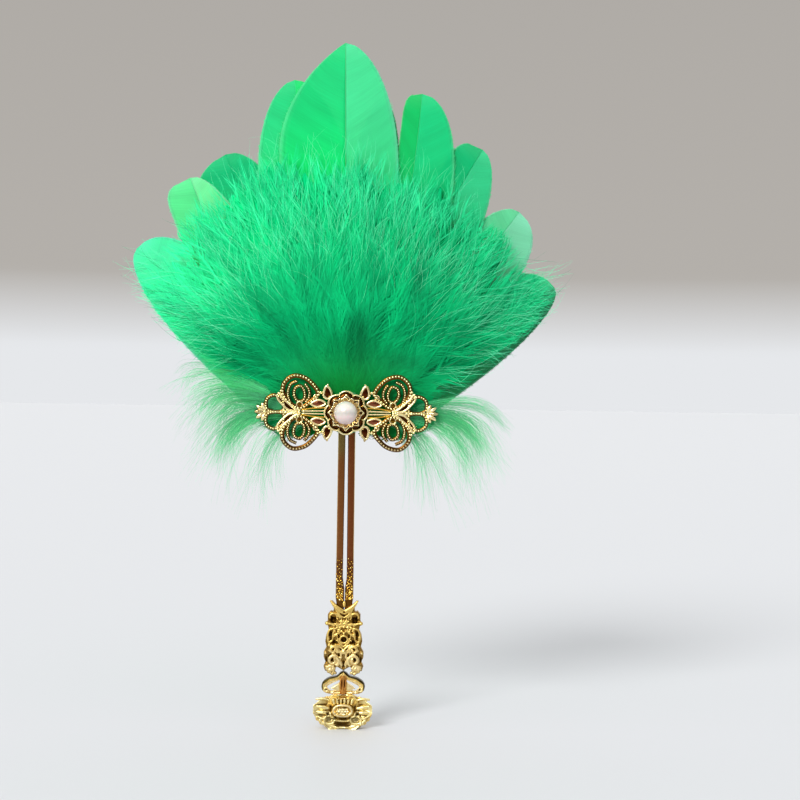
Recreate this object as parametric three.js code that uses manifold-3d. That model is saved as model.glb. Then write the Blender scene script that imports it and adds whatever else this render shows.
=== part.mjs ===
// A rigid feather hand fan. Ten broad vane feathers and a ruff of soft plumes spread from a hub
// that is held between two felt discs on a two-pronged brass handle. A pierced brass brooch with
// a pearl covers the hub, and a pierced tail, a cloud-shaped arch and a peony finish the handle.
// Millimetres. +Z runs up the handle, the front faces -Y, the origin is under the peony.

import * as THREE from "three";
import { mergeVertices } from "three/addons/utils/BufferGeometryUtils.js";
import Module from "manifold-3d";

const wasm = await Module();
wasm.setup();

// Driving dimensions: general
const seat = 0.3; // free gap between pieces that touch or are glued
const cutOverrun = 1; // how far a cutting body runs past the faces it opens

// Prongs
const prongWidth = 3.2;
const prongDepth = 2.4;
const prongChamfer = 0.5;
const prongGapTop = 1;
const prongGapBelow = 1.7;
const prongInTail = 11.6; // how far the prongs reach into the tail
const prongClosed = 5.4; // length above the tail on which they lie side by side
const prongParting = 5; // further length on which they part
const prongPastPearl = 6.3;
const studRadius = 1.05;
const studHeight = 0.55;
const studPitch = 2.9;
const studRise = 2.6; // height of the first stud above the tail
const studCount = 5;

// Tail, arch and peony
const tailBottom = 26.2;
const tailHeight = 32.4;
const tailHalfWidth = 9.1;
const tailDepth = 4.2;
const tailRelief = 0.7;
const tailRib = 1.1;
const tailRibSink = 0.35; // how far the ribs reach into the plate
const archHeight = 10.6;
const archHalfWidth = 9.9;
const archDepth = 3.4;
const archRelief = 0.5;
const archBand = 1.7;
const peonyWidth = 27;
const peonyDepth = 1.8;
const petalHalfWidth = 4.3;
const petalThickness = 0.8;
const petalLift = 2.4;
const petalCup = 0.9;
const petalStagger = 0.25; // every second petal stands this far forward
const heartHalfWidth = 4.9;
const heartHalfHeight = 3.1;
const heartDepth = 3;
const heartRise = 1.4; // height of the heart's middle over the middle of the backing
const stamenRadius = 0.6;
const footFlat = 0.8; // height of the peony's lower edge that is cut flat to stand on

// Feathers
const hubHeight = 138; // where the quills meet
const hubSpread = 2.4; // side step between quills that share a layer
const layerCount = 5;
const quillDiameter = 1.1;
const shaftTipDiameter = 0.5;
const vaneThickness = 0.4;
const vaneCamber = 0.35;
const layerPitch = 1.4;
const featherLength = 176.4;
const vaneHalfWidth = 25;
const tipCurl = 7; // how far the longest tip bends back

// Plumes and down
const plumeReach = 120;
const ruffReach = 88;
const plumeRootRadius = 6;
const plumeRootDepth = 1.2;
const plumeBody = 7.5;
const ruffBody = 7;
const plumeGap = 0.5; // free gap between neighbouring plumes
const rowGap = 0.8; // free gap between the two rows of plumes
const plumeOnset = 26; // radius at which a plume may swell, above the brooch
const plumeSideOnset = 18; // further radius beside the brooch
const plumeSwell = 26; // length on which a plume swells to its full body
const plumeSpread = 126; // degrees that the plumes cover
const plumeCount = 7;
const tuftReach = 75;
const tuftDepth = 2.6;
const tuftHalfWidth = 7;
const tuftRootHalfWidth = 1.2;

// Felt and brooch
const feltRadius = 9.6;
const feltThickness = 1.1;
const broochLift = 6.7; // height of the pearl's centre above the hub
const broochHalfLength = 41.3;
const broochHalfHeight = 16.9;
const broochWire = 1.1;
const broochFine = 0.8;
const broochDepth = 1.1;
const broochBead = 1.3;
const rosetteRadius = 9;
const rosetteWave = 0.8;
const rosetteDepth = 1.1;
const rosetteRib = 0.9;
const cupRadius = 7.2;
const cupSeatRadius = 3.4;
const cupDepth = 2.2;
const cupWall = 0.6;
const cupPetals = 14;
const pearlRadius = 5.2;
const pinRadius = 0.5;
const pinHoleRadius = 0.85;
const pinHeadRadius = 1.6;
const pinHeadDepth = 0.6;
const pinInPearl = 6;

// Places that follow from them
const tailTop = tailBottom + tailHeight;
const prongFoot = tailTop - prongInTail;
const prongJoin = tailTop + prongClosed;
const prongSplit = prongJoin + prongParting;
const broochHeight = hubHeight + broochLift;
const prongTop = broochHeight + prongPastPearl;
const archBottom = tailBottom - archHeight;
const peonyTop = archBottom - seat;
const peonyBack = peonyDepth / 2;

// Finishes
const gold = new THREE.MeshStandardMaterial({ color: 0xd9a93a, roughness: 0.22, metalness: 1 });
const pearlFinish = new THREE.MeshStandardMaterial({ color: 0xf4efe8, roughness: 0.25, metalness: 0 });
const vaneGreen = new THREE.MeshStandardMaterial({ color: 0x35e08a, roughness: 0.6, metalness: 0 });
const plumeGreen = new THREE.MeshStandardMaterial({ color: 0x12c070, roughness: 0.9, metalness: 0 });
const downGreen = new THREE.MeshStandardMaterial({ color: 0x8de8b8, roughness: 0.95, metalness: 0 });
const feltGreen = new THREE.MeshStandardMaterial({ color: 0x0a8a4a, roughness: 1, metalness: 0 });

// Small sums
const mix = (a, b, share) => a + (b - a) * share;
const between = (low, high, value) => Math.min(1, Math.max(0, (value - low) / (high - low)));
const ease = (low, high, value) => {
  const share = between(low, high, value);
  return share * share * (3 - 2 * share);
};
const radians = THREE.MathUtils.degToRad;

// Six times the signed volume tells which way the faces look.
function outward(geometry) {
  const place = geometry.getAttribute("position");
  const index = geometry.getIndex();
  const corner = (k) => new THREE.Vector3().fromBufferAttribute(place, index.getX(k));
  let volume = 0;
  for (let k = 0; k < index.count; k += 3) {
    volume += corner(k).dot(corner(k + 1).cross(corner(k + 2)));
  }
  if (volume < 0) {
    for (let k = 0; k < index.count; k += 3) {
      const swapped = index.getX(k + 1);
      index.setX(k + 1, index.getX(k + 2));
      index.setX(k + 2, swapped);
    }
  }
  return geometry;
}

// A closed body through rings of points that all have the same count, with a flat end on each side.
function loft(rings) {
  const count = rings[0].length;
  const last = (rings.length - 1) * count;
  const faces = [];
  for (let first = 0; first < last; first += count) {
    for (let k = 0; k < count; k += 1) {
      const a = first + k;
      const b = first + ((k + 1) % count);
      faces.push(a, b, b + count, a, b + count, a + count);
    }
  }
  for (let k = 1; k + 1 < count; k += 1) {
    faces.push(0, k + 1, k, last, last + k, last + k + 1);
  }
  const geometry = new THREE.BufferGeometry().setFromPoints(rings.flat());
  geometry.setIndex(faces);
  return outward(geometry);
}

function solidOf(geometry) {
  const bare = geometry.index ? geometry.toNonIndexed() : geometry.clone();
  bare.deleteAttribute("normal");
  bare.deleteAttribute("uv");
  const merged = mergeVertices(bare);
  return new wasm.Manifold(
    new wasm.Mesh({
      numProp: 3,
      vertProperties: merged.getAttribute("position").array,
      triVerts: new Uint32Array(merged.getIndex().array),
    }),
  );
}

function geometryOf(solid) {
  const made = solid.getMesh();
  const geometry = new THREE.BufferGeometry();
  geometry.setAttribute("position", new THREE.BufferAttribute(made.vertProperties, 3));
  geometry.setIndex(new THREE.BufferAttribute(made.triVerts, 1));
  return geometry;
}

const fuse = (geometries) => geometries.map(solidOf).reduce((whole, piece) => whole.add(piece));
const cut = (solid, geometries) =>
  geometries.map(solidOf).reduce((whole, piece) => whole.subtract(piece), solid);

// Flat outlines hold points in (x, z), seen from the front, and shapes run anticlockwise.
function polygon(points) {
  const outline = points.map(([x, z]) => new THREE.Vector2(x, z));
  return new THREE.Shape(THREE.ShapeUtils.isClockWise(outline) ? outline.reverse() : outline);
}
const mirrored = (points) => points.map(([x, z]) => [-x, z]).reverse();
const placed = (shares, width, height, z = 0) => shares.map(([x, y]) => [x * width, z + y * height]);
const pierce = (shape, points) =>
  shape.holes.push(new THREE.Path(points.map(([x, z]) => new THREE.Vector2(x, z))));

// A plate parallel to the fan, with its rear face at back.
function plate(shape, back, depth) {
  const geometry = new THREE.ExtrudeGeometry(shape, { depth, bevelEnabled: false });
  geometry.rotateX(Math.PI / 2);
  return geometry.translate(0, back, 0);
}

function ellipse(x, z, halfWidth, halfHeight, turn = 0, sides = 12) {
  const points = [];
  for (let k = 0; k < sides; k += 1) {
    const angle = (k / sides) * 2 * Math.PI;
    const across = halfWidth * Math.cos(angle);
    const up = halfHeight * Math.sin(angle);
    points.push([
      x + across * Math.cos(turn) - up * Math.sin(turn),
      z + across * Math.sin(turn) + up * Math.cos(turn),
    ]);
  }
  return points;
}

// A flat ribbon of even width along a smooth curve through the points, open or closed.
function ribbon(points, width, steps = 12, closed = false) {
  const route = points.map(([x, z]) => new THREE.Vector3(x, 0, z));
  const curve = new THREE.CatmullRomCurve3(route, closed, "centripetal");
  const left = [];
  const right = [];
  for (let k = 0; k <= (closed ? steps - 1 : steps); k += 1) {
    const at = curve.getPoint(k / steps);
    const along = curve.getTangent(k / steps);
    left.push([at.x + (along.z * width) / 2, at.z - (along.x * width) / 2]);
    right.push([at.x - (along.z * width) / 2, at.z + (along.x * width) / 2]);
  }
  if (!closed) {
    return polygon([...left, ...right.reverse()]);
  }
  const area = (list) => Math.abs(THREE.ShapeUtils.area(list.map(([x, y]) => new THREE.Vector2(x, y))));
  const leftIsOuter = area(left) > area(right);
  const shape = polygon(leftIsOuter ? left : right);
  pierce(shape, leftIsOuter ? right : left);
  return shape;
}

function mesh(name, geometry, material) {
  const made = new THREE.Mesh(geometry, material);
  made.name = name;
  return made;
}

// Handle: two flat prongs that lie side by side at the foot and stand apart above it
function prongRing(side, z, gap, grow = 0) {
  const inner = gap / 2 - grow;
  const outer = prongWidth + Math.max(gap, prongGapTop) / 2 + grow;
  const deep = prongDepth / 2 + grow;
  return [
    [inner + prongChamfer, -deep],
    [outer - prongChamfer, -deep],
    [outer, -deep + prongChamfer],
    [outer, deep - prongChamfer],
    [outer - prongChamfer, deep],
    [inner + prongChamfer, deep],
    [inner, deep - prongChamfer],
    [inner, -deep + prongChamfer],
  ].map(([x, y]) => new THREE.Vector3(side * x, y, z));
}

function prong(side) {
  const bar = loft([
    prongRing(side, prongFoot, seat),
    prongRing(side, prongJoin, seat),
    prongRing(side, prongSplit, prongGapBelow),
    prongRing(side, prongTop, prongGapTop),
  ]);
  const studs = [];
  for (let k = 0; k < studCount; k += 1) {
    const stud = new THREE.CylinderGeometry(studRadius, studRadius / 2, studHeight * 2, 8);
    const x = side * (prongGapBelow + prongWidth) / 2;
    studs.push(stud.translate(x, -prongDepth / 2, tailTop + studRise + k * studPitch));
  }
  return geometryOf(fuse([bar, ...studs]));
}

// Pierced tail: a scrolled plate with a socket for the prongs
const tailEdge_shares = [
  [0, 0.01], [0.3, 0.06], [0.62, 0.03], [0.92, 0], [1, 0.07], [0.9, 0.13], [1, 0.2], [1, 0.27],
  [0.86, 0.34], [0.93, 0.42], [0.88, 0.52], [0.76, 0.58], [0.8, 0.64], [0.91, 0.67], [0.82, 0.71],
  [0.82, 0.8], [0.68, 0.85], [0.54, 0.84], [0.52, 0.88], [0.64, 1], [0.44, 0.94], [0.22, 0.88],
  [0, 0.85],
];
const tailHole_shares = [
  [0, 0.46, 0.16, 0.05], [0.45, 0.4, 0.12, 0.035], [0.5, 0.31, 0.16, 0.03], [0.6, 0.2, 0.2, 0.045],
  [0.17, 0.3, 0.1, 0.03], [0.64, 0.74, 0.09, 0.035], [0.22, 0.13, 0.1, 0.03],
];
const tailRib_shares = [
  [[0.88, 0.05], [0.55, 0.09], [0.12, 0.2], [0.3, 0.33], [0.78, 0.37]],
  [[0.05, 0.08], [0.3, 0.2], [0.75, 0.3]],
  [[0.82, 0.46], [0.5, 0.5], [0.2, 0.56], [0.3, 0.66], [0.62, 0.66]],
  [[0.06, 0.62], [0.2, 0.76], [0.56, 0.96]],
];

function tail() {
  const right = placed(tailEdge_shares, tailHalfWidth, tailHeight, tailBottom);
  const shape = polygon([...right, ...mirrored(right).slice(1, -1)]);
  for (const [x, z, wide, high] of tailHole_shares) {
    for (const side of x ? [1, -1] : [1]) {
      const across = side * x * tailHalfWidth;
      const up = tailBottom + z * tailHeight;
      pierce(shape, ellipse(across, up, wide * tailHalfWidth, high * tailHeight, 0, 10));
    }
  }
  const ribBack = tailRibSink - tailDepth / 2;
  const ribs = tailRib_shares.flatMap((shares) => {
    const line = placed(shares, tailHalfWidth, tailHeight, tailBottom);
    return [line, mirrored(line)].map((points) =>
      plate(ribbon(points, tailRib, 8), ribBack, tailRibSink + tailRelief),
    );
  });
  const sockets = [1, -1].map((side) =>
    loft([
      prongRing(side, prongFoot - seat, seat, seat),
      prongRing(side, tailTop + cutOverrun, seat, seat),
    ]),
  );
  return geometryOf(cut(fuse([plate(shape, tailDepth / 2, tailDepth), ...ribs]), sockets));
}

// Cloud arch: a pointed band that curls in at its ends, with a leaf hanging in it
const arch_shares = [[0, 1], [0.25, 0.76], [0.62, 0.66], [0.9, 0.42], [0.88, 0.12], [0.62, 0]];
const archLeaf_shares = [
  [0, 0.88], [0.12, 0.7], [0.18, 0.48], [0.5, 0.3], [0.4, 0.14], [0.14, 0.16], [0.1, 0],
];
const archSill_share = 0.7;

function cloudArch() {
  const line = placed(arch_shares, archHalfWidth, archHeight - archBand, archBottom + archBand / 2);
  const band = ribbon([...mirrored(line), ...line.slice(1)], archBand, 26);
  const leaf = placed(archLeaf_shares, archHalfWidth, archHeight, archBottom);
  const leafShape = polygon([...leaf, ...mirrored(leaf).slice(0, -1)]);
  const sill = ellipse(0, archBottom + archBand / 2, archHalfWidth * archSill_share, archBand / 2);
  return geometryOf(
    fuse([
      plate(band, archDepth / 2, archDepth),
      plate(leafShape, archDepth / 2 - archRelief, archDepth),
      plate(polygon(sill), archDepth / 2 - archRelief, archDepth - archRelief),
    ]),
  );
}

// Peony: a scalloped backing, eight cupped petals in front of it and a heart with stamens
const peonyHalfHeight = (peonyTop + footFlat) / 2;
const peonyMiddle = peonyTop - peonyHalfHeight;
const heartMiddle = peonyMiddle + heartRise;
const peonyScallops = 22;
const scallopSteps = 3;
const scallop_share = 0.08;
const peonySquareness = 0.85;
const peonyHole_shares = [[0.46, 0.27, 0.1, 0.1], [0, 0.13, 0.12, 0.06], [0.5, 0.65, 0.07, 0.1]];

function peonyBacking() {
  const count = peonyScallops * scallopSteps;
  const bent = (value) => Math.sign(value) * Math.abs(value) ** peonySquareness;
  const points = [];
  for (let k = 0; k < count; k += 1) {
    const angle = (k / count) * 2 * Math.PI;
    const lobe = Math.abs(Math.sin((angle * peonyScallops) / 2));
    const reach = 1 - scallop_share * (1 - lobe);
    const x = (bent(Math.cos(angle)) * reach * peonyWidth) / 2;
    points.push([x, peonyMiddle + bent(Math.sin(angle)) * reach * peonyHalfHeight]);
  }
  const shape = polygon(points);
  for (const [x, z, wide, high] of peonyHole_shares) {
    for (const side of x ? [1, -1] : [1]) {
      const across = (side * x * peonyWidth) / 2;
      pierce(shape, ellipse(across, z * peonyTop, (wide * peonyWidth) / 2, high * peonyTop));
    }
  }
  return geometryOf(cut(solidOf(plate(shape, peonyBack, peonyDepth)), [underFoot()]));
}

// Everything below the surface that the peony stands on
function underFoot() {
  const deep = peonyWidth;
  return new THREE.BoxGeometry(peonyWidth * 2, deep, deep).translate(0, 0, -deep / 2);
}

// A petal is a dish. It narrows to its root, and its rim stands forward of its middle.
const petalSteps = 4;
const petalRoot_share = 0.16;
const petalBelly_share = 0.55; // where a petal is widest
const petalSection_shares = [[-1, 0], [-0.4, 0], [0.4, 0], [1, 0], [1, 1], [0.4, 1], [-0.4, 1], [-1, 1]];
const petals = [
  { angle: 0, row: 0, reach_share: 0.7 }, { angle: 45, row: 1, reach_share: 0.76 },
  { angle: 88, row: 0, reach_share: 1 }, { angle: 138, row: 1, reach_share: 1 },
  { angle: 180, row: 0, reach_share: 1 }, { angle: -138, row: 1, reach_share: 1 },
  { angle: -88, row: 0, reach_share: 1 }, { angle: -45, row: 1, reach_share: 0.76 },
];
const petalFront = peonyBack - peonyDepth - seat;

function petal(place) {
  const angle = radians(place.angle);
  const back = petalFront - petalStagger * (place.row + 0.5);
  const squat = mix(1, (2 * peonyHalfHeight) / peonyWidth, Math.cos(angle) ** 2);
  const rings = [];
  for (let k = 0; k <= petalSteps; k += 1) {
    const share = k / petalSteps;
    const reach = mix(heartHalfHeight, (peonyWidth / 2) * squat * place.reach_share, share);
    const swell = Math.sqrt(Math.max(petalRoot_share, 1 - 4 * (share - petalBelly_share) ** 2));
    const wide = petalHalfWidth * swell * place.reach_share;
    const lift = petalLift * share * share;
    rings.push(petalSection_shares.map(([across, depth]) => new THREE.Vector3(
      Math.sin(angle) * reach + Math.cos(angle) * across * wide,
      back - lift - petalCup * across * across * share - depth * petalThickness,
      heartMiddle + Math.cos(angle) * reach - Math.sin(angle) * across * wide,
    )));
  }
  return loft(rings);
}

function peonyPetals() {
  const collar = polygon(ellipse(0, heartMiddle, heartHalfWidth, heartHalfHeight, 0, 16));
  const whole = fuse([plate(collar, petalFront, petalThickness), ...petals.map(petal)]);
  return geometryOf(cut(whole, [underFoot()]));
}

// The heart is a low dome with a ring of stamens.
const heartProfile_shares = [[0, 0], [1, 0], [0.98, 0.3], [0.85, 0.65], [0.5, 0.92], [0, 1]];
const stamenCount = 7;
const stamenRing_share = 0.55;
const stamenHeight_share = 0.85;
const heartBack = petalFront - petalThickness - petalCup - seat;

function peonyHeart() {
  const profile = heartProfile_shares.map(([r, y]) => new THREE.Vector2(r * heartHalfWidth, y * heartDepth));
  const dome = new THREE.LatheGeometry(profile, 14);
  dome.rotateX(Math.PI);
  dome.scale(1, 1, heartHalfHeight / heartHalfWidth);
  dome.translate(0, heartBack, heartMiddle);
  const stamens = [];
  for (let k = 0; k < stamenCount; k += 1) {
    const angle = (k / stamenCount) * 2 * Math.PI;
    stamens.push(new THREE.IcosahedronGeometry(stamenRadius).translate(
      Math.sin(angle) * heartHalfWidth * stamenRing_share,
      heartBack - heartDepth * stamenHeight_share,
      heartMiddle + Math.cos(angle) * heartHalfHeight * stamenRing_share,
    ));
  }
  return geometryOf(fuse([dome, ...stamens]));
}

// Vane feathers: a thin cambered vane on each side of a tapered shaft. All of them, and the
// plumes, follow one shallow bowl that bends back with the square of the distance from the hub.
const bowl = (x, z) => (tipCurl * (x * x + (z - hubHeight) ** 2)) / featherLength ** 2;
const featherSteps = 10;
const tipCrowding = 1.6; // sections crowd towards the tip
const vaneStart_share = 0.12;
const bareVane_share = 1.5; // least half width of a vane, of the shaft's half thickness
const rootDrop_share = 0.85; // how far below the hub a quill starts, of the side step

// Outline of a vane's tip: (1 - t^power)^(1/root) from the named share of the length
const pointed = { power: 2, root: 1.1, from_share: 0.72 };
const oval = { power: 2, root: 1.8, from_share: 0.68 };
const tapered = { power: 2, root: 2, from_share: 0.45 };
const round = { power: 3, root: 2, from_share: 0.6 };
const blunt = { power: 4, root: 2, from_share: 0.66 };
const square = { power: 12, root: 3, from_share: 0.7 };

// Angles in degrees from straight up, positive to the right. Widths are shares of a half vane.
const feathers = [
  { name: "feather_centre", layer: 4, side: 0, angle: -1, length_share: 1, bow_share: 0,
    left_share: 1.24, left: pointed, right_share: 0.98, right: oval, full_share: 0.62 },
  { name: "feather_left_1", layer: 3, side: -1, angle: -9.4, length_share: 0.914, bow_share: -0.01,
    left_share: 0.9, left: oval, right_share: 0.85, right: oval, full_share: 0.6 },
  { name: "feather_right_1", layer: 3, side: 1, angle: 11.9, length_share: 0.889, bow_share: 0.06,
    left_share: 0.33, left: square, right_share: 0.8, right: round, full_share: 0.6 },
  { name: "feather_left_2", layer: 1, side: -1, angle: -24.8, length_share: 0.778, bow_share: 0,
    left_share: 0.98, left: blunt, right_share: 0.72, right: round, full_share: 0.55 },
  { name: "feather_right_2", layer: 2, side: 1, angle: 25.3, length_share: 0.804, bow_share: -0.057,
    left_share: 0.48, left: square, right_share: 0.74, right: oval, full_share: 0.55 },
  { name: "feather_behind", layer: 2, side: 0, angle: 5.7, length_share: 0.857, bow_share: 0,
    left_share: 0.5, left: oval, right_share: 0.46, right: oval, full_share: 0.6 },
  { name: "feather_left_3", layer: 2, side: -1, angle: -32.9, length_share: 0.766, bow_share: -0.09,
    left_share: 0.58, left: square, right_share: 0.78, right: tapered, full_share: 0.5 },
  { name: "feather_right_3", layer: 1, side: 1, angle: 37.9, length_share: 0.718, bow_share: 0,
    left_share: 0.6, left: round, right_share: 0.74, right: blunt, full_share: 0.5 },
  { name: "feather_left_4", layer: 0, side: -1, angle: -50.5, length_share: 0.72, bow_share: 0.02,
    left_share: 0.84, left: tapered, right_share: 0.72, right: blunt, full_share: 0.34 },
  { name: "feather_right_4", layer: 0, side: 1, angle: 55.2, length_share: 0.652, bow_share: -0.02,
    left_share: 0.8, left: round, right_share: 0.64, right: tapered, full_share: 0.34 },
];

const layerMiddle = (layer) => -prongDepth / 2 - seat - quillDiameter / 2 - layer * layerPitch;

function vaneWidth(along, share, form, full_share) {
  const rise = ease(vaneStart_share, full_share, along);
  const tip = between(form.from_share, 1, along);
  return vaneHalfWidth * share * rise * (1 - tip ** form.power) ** (1 / form.root);
}

function feather(row) {
  const length = featherLength * row.length_share;
  const angle = radians(row.angle);
  const root = new THREE.Vector2(row.side * hubSpread, hubHeight - hubSpread * rootDrop_share);
  const tip = new THREE.Vector2(Math.sin(angle) * length, hubHeight + Math.cos(angle) * length);
  const bow = new THREE.Vector2(Math.cos(angle), -Math.sin(angle)).multiplyScalar(row.bow_share * length);
  const knee = root.clone().add(tip).multiplyScalar(0.5).add(bow);
  const shaft = new THREE.QuadraticBezierCurve(root, knee, tip);
  const rings = [];
  for (let k = 0; k <= featherSteps; k += 1) {
    const along = 1 - (1 - k / featherSteps) ** tipCrowding;
    const at = shaft.getPoint(along);
    const tangent = shaft.getTangent(along);
    const thick = mix(quillDiameter, shaftTipDiameter, along) / 2;
    const thin = Math.min(vaneThickness / 2, thick);
    const bare = thick * bareVane_share;
    const left = Math.max(vaneWidth(along, row.left_share, row.left, row.full_share), bare);
    const right = Math.max(vaneWidth(along, row.right_share, row.right, row.full_share), bare);
    const section = [
      [-left, 0], [-thick, -thin], [0, -thick], [thick, -thin], [right, 0],
      [thick, thin], [0, thick], [-thick, thin],
    ];
    rings.push(section.map(([across, depth]) => {
      const x = at.x + tangent.y * across;
      const z = at.y - tangent.x * across;
      const camber = vaneCamber * (across / vaneHalfWidth) ** 2;
      return new THREE.Vector3(x, layerMiddle(row.layer) + depth + camber + bowl(x, z), z);
    }));
  }
  return loft(rings);
}

// Plumes: plump soft lobes side by side, in a long row and a shorter ruff in front of it.
// Their fullness depends on the place alone, so that the ruff nests on the row behind it.
const plumeBack = layerMiddle(layerCount - 1) - quillDiameter / 2 - seat;
const plumeSteps = 9;
const plumeCrowding = 1.3; // sections crowd towards the tip
const plumeTipPower = 2.4;
const plumeSection_shares = [
  [-1, 0.4], [-0.6, 0], [0.6, 0], [1, 0.4], [0.75, 0.8], [0.3, 1], [-0.3, 1], [-0.75, 0.8],
];
const plumeTipFrom_share = 0.58;
const plumeTipDepth_share = 0.35;
const plumeThinFrom_share = 0.6;
const plumeTipWidth_share = 0.008;
const plumeReach_shares = [0.94, 0.98, 1, 1, 0.97, 0.95, 0.9];
const ruffReach_shares = [0.92, 1, 1.02, 1.02, 1, 0.92];

function fullness(x, z, body, reach) {
  const radius = Math.hypot(x, z - hubHeight);
  const onset = plumeOnset + plumeSideOnset * Math.abs(x / radius);
  const grown = mix(plumeRootDepth, body, ease(onset, onset + plumeSwell, radius));
  return grown * mix(1, plumeTipDepth_share, ease(reach * plumeThinFrom_share, reach, radius));
}

const rowFront = (x, z) => plumeBack - fullness(x, z, plumeBody, plumeReach);

function plume(degrees, halfSpan, reach, backOf, depthOf) {
  const angle = radians(degrees);
  const rings = [];
  for (let k = 0; k <= plumeSteps; k += 1) {
    const radius = mix(plumeRootRadius, reach, 1 - (1 - k / plumeSteps) ** plumeCrowding);
    const tip = between(plumeTipFrom_share, 1, radius / reach);
    const full = radius * Math.tan(radians(halfSpan)) - plumeGap / 2;
    const wide = full * Math.max(Math.sqrt(1 - tip ** plumeTipPower), plumeTipWidth_share);
    rings.push(plumeSection_shares.map(([across, depth]) => {
      const x = Math.sin(angle) * radius + Math.cos(angle) * across * wide;
      const z = hubHeight + Math.cos(angle) * radius - Math.sin(angle) * across * wide;
      return new THREE.Vector3(x, backOf(x, z) - depth * depthOf(x, z) + bowl(x, z), z);
    }));
  }
  return loft(rings);
}

function longPlume(k) {
  const span = plumeSpread / plumeCount;
  const reach = plumeReach * plumeReach_shares[k];
  return plume(
    (k - (plumeCount - 1) / 2) * span, span / 2, reach,
    () => plumeBack,
    (x, z) => fullness(x, z, plumeBody, plumeReach),
  );
}

function ruffPlume(k) {
  const span = plumeSpread / plumeCount;
  const reach = ruffReach * ruffReach_shares[k];
  return plume(
    (k - (plumeCount - 2) / 2) * span, span / 2, reach,
    (x, z) => rowFront(x, z) - rowGap,
    (x, z) => fullness(x, z, ruffBody, ruffReach),
  );
}

// Tufts of loose down droop from the hub on both sides. Places are shares of the tuft's reach.
const tuft_shares = {
  tuft_left_outer: [[-0.067, 0.017], [-0.96, 0.44], [-0.88, -0.4]],
  tuft_left_inner: [[-0.05, -0.02], [-0.66, 0.15], [-0.6, -0.47]],
  tuft_right_outer: [[0.067, 0.017], [1, 0.36], [0.96, -0.5]],
  tuft_right_inner: [[0.05, -0.02], [0.7, 0.12], [0.66, -0.75]],
};
const tuftSteps = 9;
const tuftTip_share = 0.25;
const tuftWidens_shares = [0.1, 0.5];
const tuftNarrows_shares = [0.6, 1];
const tuftDeepens_shares = [0.3, 0.6];
const tuftSection_shares = [[-1, 0.5], [-0.6, 0], [0.6, 0], [1, 0.5], [0.6, 1], [-0.6, 1]];

function tuft(shares) {
  const [from, knee, to] = placed(shares, tuftReach, tuftReach, hubHeight).map(
    ([x, z]) => new THREE.Vector2(x, z),
  );
  const line = new THREE.QuadraticBezierCurve(from, knee, to);
  const rings = [];
  for (let k = 0; k <= tuftSteps; k += 1) {
    const along = k / tuftSteps;
    const at = line.getPoint(along);
    const tangent = line.getTangent(along);
    const widest = mix(tuftRootHalfWidth, tuftHalfWidth, ease(...tuftWidens_shares, along));
    const wide = widest * mix(1, tuftTip_share, ease(...tuftNarrows_shares, along));
    const deep = mix(plumeRootDepth, tuftDepth, ease(...tuftDeepens_shares, along));
    rings.push(tuftSection_shares.map(([across, depth]) => {
      const x = at.x + tangent.y * across * wide;
      const z = at.y - tangent.x * across * wide;
      return new THREE.Vector3(x, plumeBack - depth * deep + bowl(x, z), z);
    }));
  }
  return loft(rings);
}

// Felt discs hold the quills and the prongs between them. The front one clears the pin's head.
const ruffRootFront = plumeBack - 2 * plumeRootDepth - rowGap;
const frontFeltBack = ruffRootFront - seat;
const broochBack = frontFeltBack - feltThickness - seat;

function disc(radius, back, depth, height, sides = 26) {
  const made = new THREE.CylinderGeometry(radius, radius, depth, sides);
  return made.translate(0, back - depth / 2, height);
}

function frontFelt() {
  const through = feltThickness + 2 * cutOverrun;
  const hole = disc(pinHeadRadius + seat, frontFeltBack + cutOverrun, through, broochHeight, 14);
  return geometryOf(cut(solidOf(disc(feltRadius, frontFeltBack, feltThickness, broochHeight)), [hole]));
}

// Brooch: loops, scrolls and drops of flat wire around a disc, alike in all four quarters.
// Places are shares of the brooch's half length and half height.
const wingLoop_shares = [
  [0.31, 0.51], [0.375, 0.76], [0.46, 0.92], [0.585, 0.965], [0.68, 0.77], [0.69, 0.5],
  [0.605, 0.21], [0.5, 0.12], [0.4, 0.27],
];
const wingDrop_shares = [[0.47, 0.32], [0.455, 0.52], [0.5, 0.7], [0.56, 0.64], [0.57, 0.45], [0.53, 0.3]];
const wingVein_shares = [[0.61, 0.23], [0.64, 0.5], [0.61, 0.74], [0.54, 0.83]];
const wingStem_shares = [[0.51, 0.1], [0.505, 0.3]];
const marquise_shares = [[0.2, 0.25], [0.29, 0.37], [0.4, 0.21], [0.32, 0.13]];
const bar_shares = [[0.19, 0.1], [0.48, 0.09]];
const outerLoop_shares = [[0.69, 0.04], [0.7, 0.34], [0.79, 0.45], [0.87, 0.33], [0.86, 0.06]];
const dropStem_shares = [[0.12, 0.3], [0.19, 0.44]];
const spine_shares = [[0.53, 0], [0.92, 0]];
const drop_shares = { x: 0.206, z: 0.545, wide: 0.047, high: 0.165, angle: -18 };
const sidePetal_shares = { x: 0.925, z: 0.135, wide: 0.052, high: 0.058, angle: 40 };
const endPetal_shares = { x: 0.947, z: 0, wide: 0.053, high: 0.055, angle: 0 };
const quarterBeads_shares = [[0.28, 0.53], [0.485, 0.09], [0.565, 0.09], [0.645, 0.22], [0.68, 0.46]];
const middleBeads_shares = [[0.525, 0], [0.66, 0], [0.89, 0]];
const broochDisc_share = 0.98; // of the rosette's radius
const beadSides = 6;

function quarters(points) {
  const flipped = points.map(([x, z]) => [x, 2 * broochHeight - z]).reverse();
  return [points, mirrored(points), flipped, mirrored(flipped)];
}

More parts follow.
